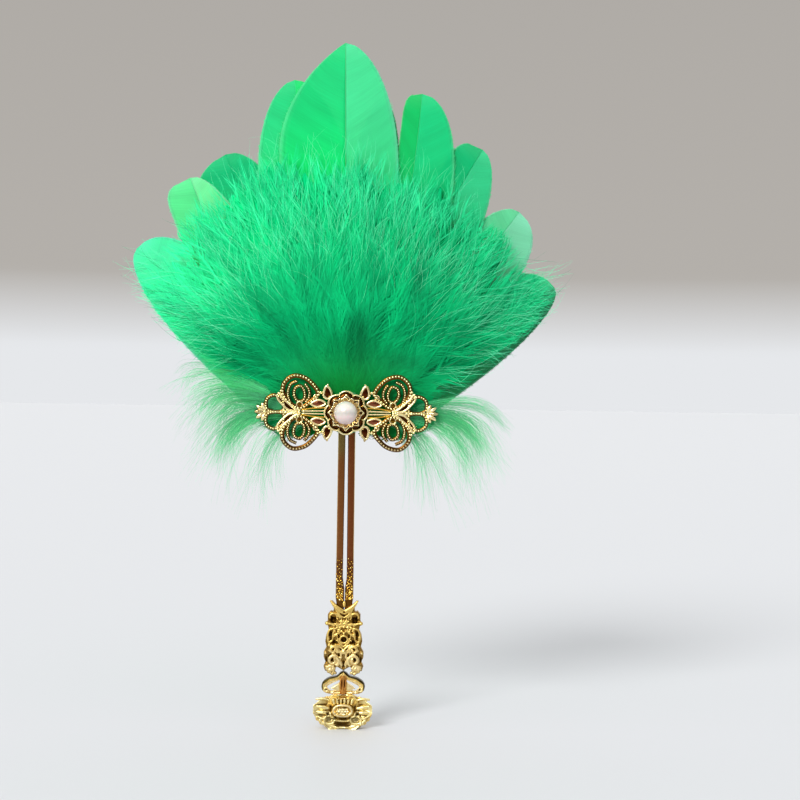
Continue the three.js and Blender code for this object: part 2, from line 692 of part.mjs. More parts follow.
function filigree() {
  const place = (shares) => placed(shares, broochHalfLength, broochHalfHeight, broochHeight);
  const wire = (shares, width, steps, closed, deep = broochDepth) =>
    quarters(place(shares)).map((points) => plate(ribbon(points, width, steps, closed), broochBack, deep));
  const spot = ({ x, z, wide, high, angle }, deep) =>
    quarters(ellipse(
      x * broochHalfLength, broochHeight + z * broochHalfHeight,
      wide * broochHalfLength, high * broochHalfHeight, radians(angle), 8,
    )).map((points) => plate(polygon(points), broochBack, deep));
  const beads = [...quarterBeads_shares, ...middleBeads_shares].flatMap(([x, z]) =>
    quarters(ellipse(
      x * broochHalfLength, broochHeight + z * broochHalfHeight, broochBead, broochBead, 0, beadSides,
    )).map((points) => plate(polygon(points), broochBack, broochDepth + broochFine)),
  );
  const rim = ellipse(
    drop_shares.x * broochHalfLength, broochHeight + drop_shares.z * broochHalfHeight,
    drop_shares.wide * broochHalfLength, drop_shares.high * broochHalfHeight, radians(drop_shares.angle), 9,
  );
  const whole = fuse([
    disc(rosetteRadius * broochDisc_share, broochBack, broochDepth, broochHeight),
    ...wire(wingLoop_shares, broochWire, 16, true),
    ...wire(wingDrop_shares, broochFine, 8, true),
    ...wire(wingVein_shares, broochFine, 5, false, broochFine),
    ...wire(wingStem_shares, broochFine, 2, false, broochFine),
    ...wire(marquise_shares, broochFine, 7, true),
    ...wire(bar_shares, broochFine, 2, false, broochFine),
    ...wire(outerLoop_shares, broochWire, 10, true),
    ...wire(dropStem_shares, broochWire, 2, false, broochFine),
    ...wire(spine_shares, broochWire, 2, false),
    ...quarters(rim).map((points) => plate(ribbon(points, broochFine, 9, true), broochBack, broochDepth)),
    ...spot(drop_shares, broochFine / 2),
    ...spot(sidePetal_shares, broochDepth),
    ...spot(endPetal_shares, broochDepth),
    ...beads,
  ]);
  return geometryOf(cut(whole, [pinHole(broochBack)]));
}

const pinHole = (back) =>
  disc(pinHoleRadius, back + cutOverrun, cupDepth + pearlRadius, broochHeight, 10);

// Rosette: a scalloped disc with a raised rim and an eight-pointed raised star
const rosetteBack = broochBack - broochDepth - seat;
const rosetteScallops = 12;
const rosetteSteps = 48;
const starPoints = 8;
const starSteps = 2 * starPoints;
const star_shares = [0.62, 0.84];

function wave(radius, amount, count, steps) {
  const points = [];
  for (let k = 0; k < steps; k += 1) {
    const angle = (k / steps) * 2 * Math.PI;
    const reach = radius + amount * Math.cos(count * angle);
    points.push([reach * Math.sin(angle), broochHeight + reach * Math.cos(angle)]);
  }
  return points;
}

function rosette() {
  const rim = wave(rosetteRadius - rosetteRib / 2, rosetteWave, rosetteScallops, rosetteSteps);
  const starRadius = ((star_shares[0] + star_shares[1]) / 2) * rosetteRadius;
  const starWave = ((star_shares[1] - star_shares[0]) / 2) * rosetteRadius;
  const star = wave(starRadius, starWave, starPoints, starSteps);
  const base = polygon(wave(rosetteRadius, rosetteWave, rosetteScallops, rosetteSteps));
  const whole = fuse([
    plate(base, rosetteBack, rosetteDepth / 2),
    plate(ribbon(rim, rosetteRib, rosetteSteps, true), rosetteBack, rosetteDepth),
    plate(ribbon(star, rosetteRib, starSteps, true), rosetteBack, rosetteDepth),
  ]);
  return geometryOf(cut(whole, [pinHole(rosetteBack)]));
}

// Cup: a small dish whose rim opens into pointed petals around the pearl
const cupBack = rosetteBack - rosetteDepth - seat;
const cupTooth_share = 0.2;

function cup() {
  const count = cupPetals * 2;
  const ring = (radius, toothed, y) => {
    const points = [];
    for (let k = 0; k < count; k += 1) {
      const angle = (k / count) * 2 * Math.PI;
      const reach = radius * (toothed && k % 2 ? 1 - cupTooth_share : 1);
      const place = [reach * Math.sin(angle), y, broochHeight + reach * Math.cos(angle)];
      points.push(new THREE.Vector3(...place));
    }
    return points;
  };
  const dish = loft([
    ring(cupSeatRadius, false, cupBack),
    ring(cupRadius, true, cupBack - cupDepth),
    ring(cupRadius - cupWall, true, cupBack - cupDepth - cupWall / 2),
    ring(cupSeatRadius - cupWall / 2, false, cupBack - cupWall),
  ]);
  return geometryOf(cut(solidOf(dish), [pinHole(cupBack)]));
}

// Pearl: half drilled from behind, on a pin whose head lies behind the brooch
const pearlMiddle = cupBack - cupWall - seat - pearlRadius;
const pinHeadBack = broochBack + seat + pinHeadDepth;

function pearl() {
  const ball = new THREE.SphereGeometry(pearlRadius, 20, 12).translate(0, pearlMiddle, broochHeight);
  const drilled = pinInPearl + seat + cutOverrun;
  const hole = disc(pinHoleRadius, pearlMiddle + pearlRadius + cutOverrun, drilled, broochHeight, 10);
  return geometryOf(cut(solidOf(ball), [hole]));
}

function pin() {
  const shankBack = pinHeadBack - pinHeadDepth / 2;
  const shankLength = shankBack - (pearlMiddle + pearlRadius - pinInPearl);
  return geometryOf(
    fuse([
      disc(pinHeadRadius, pinHeadBack, pinHeadDepth, broochHeight, 14),
      disc(pinRadius, shankBack, shankLength, broochHeight, 8),
    ]),
  );
}

// The whole fan
const fan = new THREE.Group();
const handle = new THREE.Group();
const head = new THREE.Group();
const brooch = new THREE.Group();
fan.add(handle, head, brooch);

handle.add(
  mesh("prong_left", prong(-1), gold),
  mesh("prong_right", prong(1), gold),
  mesh("tail_casting", tail(), gold),
  mesh("cloud_arch", cloudArch(), gold),
  mesh("peony_backing", peonyBacking(), gold),
  mesh("peony_petals", peonyPetals(), gold),
  mesh("peony_heart", peonyHeart(), gold),
);
for (const row of feathers) {
  head.add(mesh(row.name, feather(row), vaneGreen));
}
for (let k = 0; k < plumeCount; k += 1) {
  head.add(mesh(`plume_${k + 1}`, longPlume(k), plumeGreen));
}
for (let k = 0; k + 1 < plumeCount; k += 1) {
  head.add(mesh(`ruff_plume_${k + 1}`, ruffPlume(k), plumeGreen));
}
for (const [name, shares] of Object.entries(tuft_shares)) {
  head.add(mesh(name, tuft(shares), downGreen));
}
head.add(
  mesh("back_felt", disc(feltRadius, prongDepth / 2 + seat + feltThickness, feltThickness, broochHeight), feltGreen),
  mesh("front_felt", frontFelt(), feltGreen),
);
brooch.add(
  mesh("filigree_plate", filigree(), gold),
  mesh("rosette", rosette(), gold),
  mesh("pearl_cup", cup(), gold),
  mesh("pearl", pearl(), pearlFinish),
  mesh("pearl_pin", pin(), gold),
);

export default fan;
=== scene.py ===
"""A green feather hand fan with a gilt handle, a pierced brooch and a pearl, dressed over its frame.

The file is laid out as an add-on. Every piece is worked out with numpy in millimetres, in the
frame's own axes: X to the right, Z up the handle, -Y out of the front. MM turns that into metres.
"""
import math

import bpy
import numpy as np
from bpy.props import FloatProperty, FloatVectorProperty, IntProperty, PointerProperty
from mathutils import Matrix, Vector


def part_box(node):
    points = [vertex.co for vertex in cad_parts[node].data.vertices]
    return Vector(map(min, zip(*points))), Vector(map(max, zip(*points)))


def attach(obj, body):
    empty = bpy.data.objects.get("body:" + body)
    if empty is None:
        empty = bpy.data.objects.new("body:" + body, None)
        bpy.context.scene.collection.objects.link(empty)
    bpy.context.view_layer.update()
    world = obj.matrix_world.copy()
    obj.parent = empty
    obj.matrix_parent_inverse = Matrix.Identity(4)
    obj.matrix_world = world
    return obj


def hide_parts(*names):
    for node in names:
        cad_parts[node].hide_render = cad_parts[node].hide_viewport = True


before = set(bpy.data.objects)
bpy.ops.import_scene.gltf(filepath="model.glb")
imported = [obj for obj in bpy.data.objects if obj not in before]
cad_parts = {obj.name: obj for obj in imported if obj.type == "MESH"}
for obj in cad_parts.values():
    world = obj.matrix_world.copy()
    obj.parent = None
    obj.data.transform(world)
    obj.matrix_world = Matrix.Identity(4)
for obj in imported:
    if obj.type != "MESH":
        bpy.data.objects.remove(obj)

bl_info = {
    "name": "Feather hand fan",
    "version": (1, 0, 0),
    "blender": (4, 5, 0),
    "location": "3D View > Sidebar > Feather fan",
    "description": "Vane feathers, plumes, down, gilt castings and a pearl brooch",
    "category": "Add Mesh",
}

MM = 0.001
TURN = 2 * math.pi
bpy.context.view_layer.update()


def node_box(node):
    """Lowest and highest corner of a node, in millimetres."""
    low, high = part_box(node)
    return np.array(low) / MM, np.array(high) / MM


# Places that come from the frame
PEARL_LOW, PEARL_HIGH = node_box("pearl")
BROOCH_LOW, BROOCH_HIGH = node_box("filigree_plate")
BROOCH_HEIGHT = (BROOCH_LOW[2] + BROOCH_HIGH[2]) / 2
BROOCH_BACK = BROOCH_HIGH[1]
BROOCH_HALVES = np.array((41.3, 16.9))
HUB_LIFT = 6.7
HUB_HEIGHT = BROOCH_HEIGHT - HUB_LIFT
FEATHER_LENGTH = node_box("feather_centre")[1][2] - HUB_HEIGHT
(_, _, PRONG_FOOT), (_, _, PRONG_TOP) = node_box("prong_right")
TAIL_LOW, TAIL_HIGH = node_box("tail_casting")

# Sizes of the head, the same as the solids have
HUB_SPREAD, ROOT_DROP_SHARE = 2.4, 0.85
LAYER_PITCH, SEAT = 1.4, 0.3
QUILL_WIDTH, SHAFT_TIP_WIDTH = 1.1, 0.5
VANE_HALF_WIDTH, VANE_CAMBER = 25.0, 0.35
TIP_CURL = 7.0
PRONG_DEPTH = 2.4
PLUME_COUNT, PLUME_SPREAD = 7, 126.0
PLUME_REACH, RUFF_REACH = 120.0, 88.0
PLUME_BODY, RUFF_BODY = 7.5, 7.0
PLUME_ROOT_RADIUS, PLUME_ROOT_DEPTH = 6.0, 1.2
PLUME_ONSET, PLUME_SIDE_ONSET, PLUME_SWELL = 26.0, 18.0, 26.0
ROW_GAP = 0.8


# Small sums

def mix(a, b, share):
    return a + (b - a) * share


def ease(low, high, value):
    share = np.clip((value - low) / (high - low), 0, 1)
    return share * share * (3 - 2 * share)


def power(wave, exponent):
    """A wave squared off or sharpened: its size to the exponent, with its own sign."""
    return np.sign(wave) * np.abs(wave) ** exponent


def around(count, offset=0.0):
    """Angles at even steps once round."""
    return (np.arange(count) + offset) / count * TURN


def hexed(code):
    """Linear colour of an sRGB hex code."""
    parts = np.array([int(code[k:k + 2], 16) for k in (0, 2, 4)]) / 255
    return np.where(parts <= 0.04045, parts / 12.92, ((parts + 0.055) / 1.055) ** 2.4)


def bowl(x, z):
    """The shallow bowl that all feathers follow: it falls back with the square of the reach."""
    return TIP_CURL * (x * x + (z - HUB_HEIGHT) ** 2) / FEATHER_LENGTH ** 2


def layer_middle(layer):
    return -PRONG_DEPTH / 2 - SEAT - QUILL_WIDTH / 2 - layer * LAYER_PITCH


PLUME_BACK = layer_middle(4) - QUILL_WIDTH / 2 - SEAT


def fullness(x, z, body, reach):
    """Depth of the plumes at a place: thin at the hub, full past the brooch, thin at the tips."""
    radius = np.maximum(np.hypot(x, z - HUB_HEIGHT), 1.0)
    onset = PLUME_ONSET + PLUME_SIDE_ONSET * np.abs(x) / radius
    grown = mix(PLUME_ROOT_DEPTH, body, ease(onset, onset + PLUME_SWELL, radius))
    return grown * mix(1, 0.35, ease(reach * 0.6, reach, radius))


def flow(points, count, closed=False):
    """Points along a centripetal Catmull-Rom curve, whose knots are spaced by the root of each chord."""
    p = np.asarray(points, float)
    if closed:
        p = np.vstack([p[-1:], p, p[:2]])
    else:
        p = np.vstack([2 * p[0] - p[1], p, 2 * p[-1] - p[-2]])
    knots = np.concatenate([[0], np.cumsum(np.sqrt(np.linalg.norm(np.diff(p, axis=0), axis=1)))])
    spans = len(p) - 3
    at = np.linspace(0, spans, count, endpoint=not closed)
    i = np.minimum(at.astype(int), spans - 1)
    near = [knots[i + k][:, None] for k in range(4)]
    t = near[1] + (at - i)[:, None] * (near[2] - near[1])
    rows = [p[i + k] for k in range(4)]
    for level in (((0, 1), (1, 2), (2, 3)), ((0, 2), (1, 3)), ((1, 2),)):
        rows = [((near[b] - t) * rows[k] + (t - near[a]) * rows[k + 1]) / (near[b] - near[a])
                for k, (a, b) in enumerate(level)]
    return rows[0]


# Surfaces: each returns (points, list of face arrays)

def outward(points, faces):
    """Turns the faces round if the volume that they enclose comes out negative."""
    volume = 0.0
    for group in faces:
        a = points[group[:, 0]]
        for k in range(1, group.shape[1] - 1):
            volume += np.einsum("ij,ij->", a, np.cross(points[group[:, k]], points[group[:, k + 1]]))
    return points, [group[:, ::-1] for group in faces] if volume < 0 else faces


def skin(rings, closed=False):
    """Joins n rings of points in turn, or k such rows. Open ends are capped, a closed row meets itself."""
    rings = rings if rings.ndim == 4 else rings[None]
    k, n, sides, _ = rings.shape
    index = np.arange(k * n * sides).reshape(k, n, sides)
    here, there = (index, np.roll(index, -1, 1)) if closed else (index[:, :-1], index[:, 1:])
    quads = np.stack([here, np.roll(here, -1, 2), np.roll(there, -1, 2), there], -1).reshape(-1, 4)
    return outward(rings.reshape(-1, 3), [quads] if closed else [quads, index[:, 0, ::-1], index[:, -1]])


def tubes(paths, radii, sides=3, closed=False, flat=1.0, turn=0.0):
    """Round tubes along k paths of n points: circles square to each path, joined ring to ring.

    flat scales the circle along the Y axis, and turn sets off its first corner."""
    paths = np.asarray(paths, float)
    if paths.ndim == 2:
        paths = paths[None]
    radii = np.broadcast_to(np.asarray(radii, float), paths.shape[:2])
    ahead = np.roll(paths, -1, 1) - np.roll(paths, 1, 1) if closed else np.gradient(paths, axis=1)
    ahead /= np.maximum(np.linalg.norm(ahead, axis=2, keepdims=True), 1e-9)
    across = np.cross(ahead, (0.0, 1.0, 0.0))
    across /= np.maximum(np.linalg.norm(across, axis=2, keepdims=True), 1e-9)
    up = np.cross(across, ahead)
    angle = turn + around(sides)
    ring = across[:, :, None] * np.cos(angle)[:, None] + up[:, :, None] * np.sin(angle)[:, None] * flat
    return skin(paths[:, :, None] + radii[:, :, None, None] * ring, closed)


def slabs(fronts, backs):
    """Closed sheets between k front grids and k back grids of n by m points."""
    k, n, m, _ = fronts.shape
    front = np.arange(k * n * m).reshape(k, n, m)
    back = front + k * n * m
    faces = [
        (front[:, :-1, :-1], front[:, 1:, :-1], front[:, 1:, 1:], front[:, :-1, 1:]),
        (back[:, :-1, :-1], back[:, :-1, 1:], back[:, 1:, 1:], back[:, 1:, :-1]),
        (front[:, 0, :-1], front[:, 0, 1:], back[:, 0, 1:], back[:, 0, :-1]),
        (front[:, -1, :-1], back[:, -1, :-1], back[:, -1, 1:], front[:, -1, 1:]),
        (front[:, :-1, 0], back[:, :-1, 0], back[:, 1:, 0], front[:, 1:, 0]),
        (front[:, :-1, -1], front[:, 1:, -1], back[:, 1:, -1], back[:, :-1, -1]),
    ]
    points = np.concatenate([fronts.reshape(-1, 3), backs.reshape(-1, 3)])
    return outward(points, [np.stack(corners, -1).reshape(-1, 4) for corners in faces])


def blobs(centres, sizes, rings=5, sides=8):
    """Ellipsoids: unit spheres scaled by sizes, one at each centre."""
    centres = np.atleast_2d(centres).astype(float)
    sizes = np.broadcast_to(np.atleast_2d(sizes), (len(centres), 3))
    tilt = ((np.arange(rings) + 0.5) / rings * math.pi)[:, None]
    turn = around(sides)
    ball = np.stack([np.sin(tilt) * np.cos(turn), np.repeat(np.cos(tilt), sides, 1), np.sin(tilt) * np.sin(turn)], -1)
    return skin(centres[:, None, None] + ball * sizes[:, None, None])


def joined(parts):
    """Several (points, faces) as one."""
    points, faces, start = [], [], 0
    for part_points, part_faces in parts:
        points.append(part_points)
        faces += [group + start for group in part_faces]
        start += len(part_points)
    return np.concatenate(points), faces


def laid(flat, y):
    """Points (x, z) at a depth y."""
    return np.stack([flat[..., 0], np.broadcast_to(y, flat.shape[:-1]), flat[..., 1]], -1)


def paint(mesh, shade):
    """Writes a colour per point."""
    rgba = np.concatenate([shade, np.ones((len(shade), 1))], 1)
    mesh.attributes.new("shade", "FLOAT_COLOR", "POINT").data.foreach_set("color", rgba.astype(np.float32).ravel())


def write_piece(name, part, shade=None, uv=None, smooth=True):
    """Puts points and faces into a new mesh object, in metres, with a colour and a UV per point."""
    points, faces = part
    corners = np.concatenate([group.ravel() for group in faces]).astype(np.int32)
    sizes = np.concatenate([np.full(len(group), group.shape[1]) for group in faces])
    mesh = bpy.data.meshes.new(name)
    mesh.vertices.add(len(points))
    mesh.vertices.foreach_set("co", (points * MM).astype(np.float32).ravel())
    mesh.loops.add(len(corners))
    mesh.loops.foreach_set("vertex_index", corners)
    mesh.polygons.add(len(sizes))
    mesh.polygons.foreach_set("loop_start", np.concatenate([[0], np.cumsum(sizes)[:-1]]).astype(np.int32))
    mesh.update(calc_edges=True)
    mesh.polygons.foreach_set("use_smooth", np.full(len(sizes), smooth))
    if shade is not None:
        paint(mesh, shade)
    if uv is not None:
        mesh.uv_layers.new(name="barbs").data.foreach_set("uv", uv[corners].astype(np.float32).ravel())
    mesh.update()
    return place(name, mesh)


def place(name, data):
    """A new object at the origin of the scene."""
    made = bpy.data.objects.new(name, data)
    bpy.context.scene.collection.objects.link(made)
    return made


def dress(piece, look, slot, *nodes):
    """Gives a piece its finish, its body and the nodes that it stands for; its slot is not used."""
    piece.data.materials.clear()
    piece.data.materials.append(finish(look))
    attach(piece, "root")
    if nodes:
        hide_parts(*nodes)


# Finishes

class Graph:
    """A tree of shader nodes. A call adds a node, with values or links on its inputs, and gives an output."""

    def __init__(self, tree):
        self.tree = tree
        tree.nodes.clear()

    def __call__(self, kind, inputs=(), out=0, **settings):
        made = self.tree.nodes.new("ShaderNode" + kind)
        for key, value in settings.items():
            setattr(made, key, value)
        for key, value in dict(inputs).items():
            if isinstance(key, str):
                socket = next(item for item in made.inputs if item.name == key and item.enabled)
            else:
                socket = made.inputs[key]
            if isinstance(value, bpy.types.NodeSocket):
                self.tree.links.new(value, socket)
            else:
                socket.default_value = value
        outputs = [item for item in made.outputs if item.enabled and out in (0, item.name)]
        return outputs[0] if outputs else None

    def ramp(self, source, stops):
        colour = self("ValToRGB", {"Fac": source})
        band = colour.node.color_ramp
        while len(band.elements) < len(stops):
            band.elements.new(0.5)
        for element, (at, tint) in zip(band.elements, stops):
            element.position = at
            element.color = (*tint, 1)
        return colour

    def noise(self, place, scale, detail, **more):
        return self("TexNoise", {"Vector": place, "Scale": scale, "Detail": detail, **more})

    def streaks(self, scale, detail, **more):
        """Noise over the piece's UV, stretched by a scale."""
        place = self("Mapping", {"Vector": self("UVMap", uv_map="barbs"), "Scale": scale})
        return self.noise(place, 1.0, detail, **more)

    def math(self, how, a, b):
        return self("Math", {0: a, 1: b}, operation=how)

    def times(self, a, b):
        return self("Mix", {"Factor": 1.0, "A": a, "B": b}, data_type="RGBA", blend_type="MULTIPLY")

    def spread(self, value, **ends):
        return self("MapRange", {"Value": value, **{key.replace("_", " "): end for key, end in ends.items()}})

    def shade(self):
        """The colour that is painted on the piece."""
        return self("VertexColor", layer_name="shade")

    def body(self, colour, roughness, relief=None, **more):
        """The main shader; relief is a height, its strength and its distance."""
        inputs = {"Base Color": colour, "Roughness": roughness}
        if relief is not None:
            inputs["Normal"] = self("Bump", dict(zip(("Height", "Strength", "Distance"), relief)))
        inputs.update({key.replace("_", " "): value for key, value in more.items()})
        return self("BsdfPrincipled", inputs)

    def lit_through(self, surface, colour, share):
        return self("MixShader", {"Fac": share, 1: surface, 2: self("BsdfTranslucent", {"Color": colour})})


def vane_surface(graph):
    """Dyed vane: streaks along the barbs, from noise stretched along them, over the feather's colour with its painted
    light.
    """
    streak, cloud = graph.streaks((1.9, 0.05, 1), 2.0), graph.streaks((0.16, 0.04, 1), 2.0)
    both = graph.math("MULTIPLY", graph.math("ADD", streak, cloud), 0.5)
    tone = graph.ramp(both, [(0.36, (0.92, 0.93, 0.92)), (0.5, (1, 1, 1)), (0.64, (1.07, 1.05, 1.08))])
    colour = graph.times(graph.shade(), tone)
    body = graph.body(colour, 0.5, (streak, 0.18, 0.0001), Specular_IOR_Level=0.1, Alpha=0.82)
    return graph.lit_through(body, colour, 0.35)


def strand_surface(graph, translucence):
    """Dyed barbs: the colour, with any painted light, is on the strands, and some light comes through them."""
    shade = graph.shade()
    return graph.lit_through(graph.body(shade, 0.6, Specular_IOR_Level=0.06), shade, translucence)


def wool_surface(graph):
    """The matted wool under the strands: streaks along the rays from the hub over the piece's colour."""
    streak = graph.streaks((0.09, 0.75, 1), 4.0, Distortion=0.8)
    tone = graph.ramp(streak, [(0.3, (0.7, 0.76, 0.7)), (0.5, (1, 1, 1)), (0.7, (1.16, 1.1, 1.16))])
    return graph.body(graph.times(graph.shade(), tone), 0.8, (streak, 0.6, 0.0006), Specular_IOR_Level=0.05)


def gold_surface(graph, roughness, hollow=(0.42, 0.33, 0.24), grains=0.0, plain=None):
    """Gilt metal with a fine uneven polish: the colour is on the piece, with a painted highlight on raised
    edges and painted shade in hollows, both from the pointiness.

    A node that is carried over has no colours of its own, and takes one plain tone. Castings
    have grains: small rounded cells, darker in between."""
    place = graph("TexCoord", out="Object")
    wear = graph.noise(place, 900.0, 3.0)
    edge = graph("NewGeometry", out="Pointiness")
    # painted highlight on raised edges, painted shade in hollows
    raised = graph.ramp(edge, [(0.4, hollow), (0.5, (0.97, 0.96, 0.94)), (0.62, (1.15, 1.17, 1.2))])
    worn = graph.ramp(wear, [(0.3, (0.86, 0.82, 0.74)), (0.6, (1.04, 1.04, 1.04))])
    cell = graph("TexVoronoi", {"Vector": place, "Scale": 900.0})
    chased = graph.ramp(cell, [(0.2, (1, 1, 1)), (0.75, tuple(1 - grains * v for v in (0.5, 0.6, 0.75)))])
    tint = (*hexed(plain), 1) if plain else graph.shade()
    colour = graph.times(graph.times(graph.times(raised, worn), chased), tint)
    rough = graph.spread(wear, To_Min=roughness * 0.7, To_Max=roughness * 1.5)
    height = graph.math("ADD", wear, graph.math("MULTIPLY", cell, -3.0 * grains))
    return graph.body(colour, rough, (height, mix(0.08, 0.5, grains), 0.0001), Metallic=1.0)


def pearl_surface(graph):
    """Imitation pearl: a soft body under a clear coat, its light painted by height: rosy below, white above
    as a painted highlight, and a grey band round the middle as a painted reflection.
    """
    place = graph("TexCoord", out="Object")
    height = graph("SeparateXYZ", {"Vector": place}, "Z")
    cloud = graph.noise(place, 260.0, 2.0)
    share = graph.spread(height, From_Min=PEARL_LOW[2] * MM, From_Max=PEARL_HIGH[2] * MM)
    share = graph.math("ADD", share, graph.math("MULTIPLY", cloud, 0.16))
    # painted light by height: white above as a highlight, a grey band as a reflection
    tone = graph.ramp(share, [(at, hexed(code)) for at, code in (
        (0.1, "D2B8B0"), (0.4, "DCCAC4"), (0.56, "C2BCB4"), (0.78, "DEDAD0"), (0.95, "E6E2D8"))])
    return graph.body(tone, 0.3, Coat_Weight=1.0, Coat_Roughness=0.22, Sheen_Weight=0.25,
                      Sheen_Tint=(*hexed("F5C9D2"), 1), Subsurface_Weight=0.15, Subsurface_Scale=0.002)


def felt_surface(graph):
    """Pressed felt: a matted noise in colour and height, with sheen."""
    mat = graph.noise(graph("TexCoord", out="Object"), 1500.0, 5.0)
    tone = graph.ramp(mat, [(0.3, hexed("0A7440")), (0.7, hexed("17A561"))])
    return graph.body(tone, 0.95, (mat, 0.5, 0.0003), Sheen_Weight=0.4)


def floor_surface(graph, colour):
    return graph.body((*colour, 1), 0.6, Specular_IOR_Level=0.2)


def material(name, surface, *values):
    """A new material whose graph ends in the given surface."""
    made = bpy.data.materials.new(name)
    made.use_nodes = True
    graph = Graph(made.node_tree)
    graph("OutputMaterial", {"Surface": surface(graph, *values)})
    return made


LOOKS = {
    "vane": ("vane", vane_surface),
    "plume": ("plume_barbs", strand_surface, 0.0),
    "down": ("down_hairs", strand_surface, 0.5),
    "wool": ("plume_wool", wool_surface),
    "brooch": ("brooch_gilt", gold_surface, 0.2),
    "bar": ("bar_gilt", gold_surface, 0.16),
    "cast": ("cast_gilt", gold_surface, 0.32, (0.6, 0.5, 0.34), 0.25),
    "pin": ("pin_gilt", gold_surface, 0.25, (0.42, 0.33, 0.24), 0.0, "DDA94A"),
    "pearl": ("pearl_nacre", pearl_surface),
    "felt": ("felt_green", felt_surface),
}
FINISHES = {}


def finish(look):
    """The material of a look, made once."""
    if look not in FINISHES:
        FINISHES[look] = material(*LOOKS[look])
    return FINISHES[look]


# Settings, as an add-on shows them

def length(name, about, default, **more):
    return FloatProperty(name=name, description=about, unit="LENGTH", default=default, **more)


def number(name, about, default):
    return IntProperty(name=name, description=about, default=default, min=1)


def dye(name, about, code):
    return FloatVectorProperty(name=name, description=about, subtype="COLOR", default=tuple(hexed(code)))


# Stage

class FanStage(bpy.types.PropertyGroup):
    """Floor, backdrop, lamps and camera."""

    floor_colour: dye("Floor", "Colour of the floor", "E6E8EB")
    wall_colour: dye("Backdrop", "Colour behind the fan", "ABA7A2")
    distance: length("Distance", "From the camera to the plane of the fan", 0.75)
    scale: FloatProperty(
        name="Picture scale", description="Pixels of the 800 pixel picture to a millimetre", default=2.2)
    roll: FloatProperty(
        name="Roll", description="Turn of the camera about its line of sight", subtype="ANGLE",
        default=math.atan(0.01445))
    key: FloatProperty(name="Key lamp", description="Strength of the lamp at the front left", default=2.3)
    fill: FloatProperty(name="Sky", description="Strength of the even light from all round", default=0.72)


PICTURE = 800
FOOT_PIXEL = (342, 731)
SENSOR = 36.0
FAN_PLANE = -8.0
FLOOR_HALF = 30.0
VIEW_END = 200.0
KEY_WAY, KEY_SOFTNESS = (0.5, 1.0, -0.66), math.radians(24)


def make_lamp(strength):
    """The key lamp, far off, which shines along KEY_WAY from a disc as wide as KEY_SOFTNESS."""
    light = bpy.data.lights.new("key", "SUN")
    light.angle, light.energy = KEY_SOFTNESS, strength
    x, y, z = KEY_WAY
    place("key", light).rotation_euler = (math.pi / 2 + math.atan2(z, math.hypot(x, y)), 0, math.atan2(-x, y))


def make_world(stage):
    """Even light on matt surfaces, a pale backdrop for the eye, and a room with dark sides for gloss."""
    world = bpy.data.worlds.new("room")
    world.use_nodes = True
    graph = Graph(world.node_tree)
    axes = graph("SeparateXYZ", {"Vector": graph("TexCoord", out="Generated")}).node.outputs
    floor, wall = stage.floor_colour, stage.wall_colour
    backdrop = graph.ramp(axes["Z"], [(0.03, floor), (0.075, np.array(wall) * 1.12), (0.4, wall)])
    bright = [graph.spread(axes[axis], From_Min=dark, From_Max=light)
              for axis, dark, light in (("Y", -0.5, 0.3), ("Z", 0.12, 0.8), ("X", -0.2, -0.9))]
    bright = graph.math("MAXIMUM", graph.math("MAXIMUM", *bright[:2]), bright[2])
    room = graph.ramp(bright, [(0.08, hexed("5A3C26")), (0.8, hexed("FFFFFF"))])
    seen, even, mirrored = (graph("Background", {"Color": colour, "Strength": strength}) for colour, strength in (
        (backdrop, 1.0), ((1, 1, 1, 1), stage.fill), (room, 1.0)))
    rays = graph("LightPath").node.outputs
    look = graph.math("MAXIMUM", rays["Is Camera Ray"], rays["Is Transmission Ray"])
    light = graph("MixShader", {"Fac": rays["Is Glossy Ray"], 1: even, 2: mirrored})
    graph("OutputWorld", {"Surface": graph("MixShader", {"Fac": look, 1: light, 2: seen})})
    bpy.context.scene.world = world


def make_camera(stage):
    """A camera square to the plane of the fan, with the fan's foot at FOOT_PIXEL."""
    across = (FOOT_PIXEL[0] - PICTURE / 2) / stage.scale
    up = (PICTURE / 2 - FOOT_PIXEL[1]) / stage.scale
    cos, sin = math.cos(stage.roll), math.sin(stage.roll)
    data = bpy.data.cameras.new("camera")
    data.sensor_width = SENSOR
    data.lens = stage.scale * stage.distance / MM * SENSOR / PICTURE
    data.clip_end = VIEW_END
    camera = place("camera", data)
    side, rise = across * cos - up * sin, across * sin + up * cos
    camera.location = (-side * MM, FAN_PLANE * MM - stage.distance, -rise * MM)
    camera.rotation_euler = (math.pi / 2, -stage.roll, 0)
    bpy.context.scene.camera = camera


class FAN_OT_stage(bpy.types.Operator):
    """Pale floor, backdrop, soft lamps, and a camera that looks square at the fan"""

    bl_idname = "fan.stage"
    bl_label = "Stage"

    def execute(self, context):
        stage = context.scene.fan_stage
        context.scene.view_settings.view_transform = "Standard"
        make_world(stage)
        mesh = bpy.data.meshes.new("floor")
        mesh.from_pydata([(x * FLOOR_HALF, y * FLOOR_HALF, 0) for x, y in ((-1, -1), (1, -1), (1, 1), (-1, 1))],
                         [], [(0, 1, 2, 3)])
        mesh.materials.append(material("floor_white", floor_surface, np.array(stage.floor_colour) * 0.91))
        floor = place("floor", mesh)
        make_lamp(stage.key)
        make_camera(stage)
        return {"FINISHED"}


# Vane feathers

# Outline of a vane's tip: (1 - t^power)^(1/root) from a share of the length on
TIPS = {
    "pointed": (2, 1.1, 0.72), "oval": (2, 1.8, 0.68), "tapered": (2, 2, 0.45),
    "round": (3, 2, 0.6), "blunt": (4, 2, 0.66), "square": (12, 3, 0.7),
}

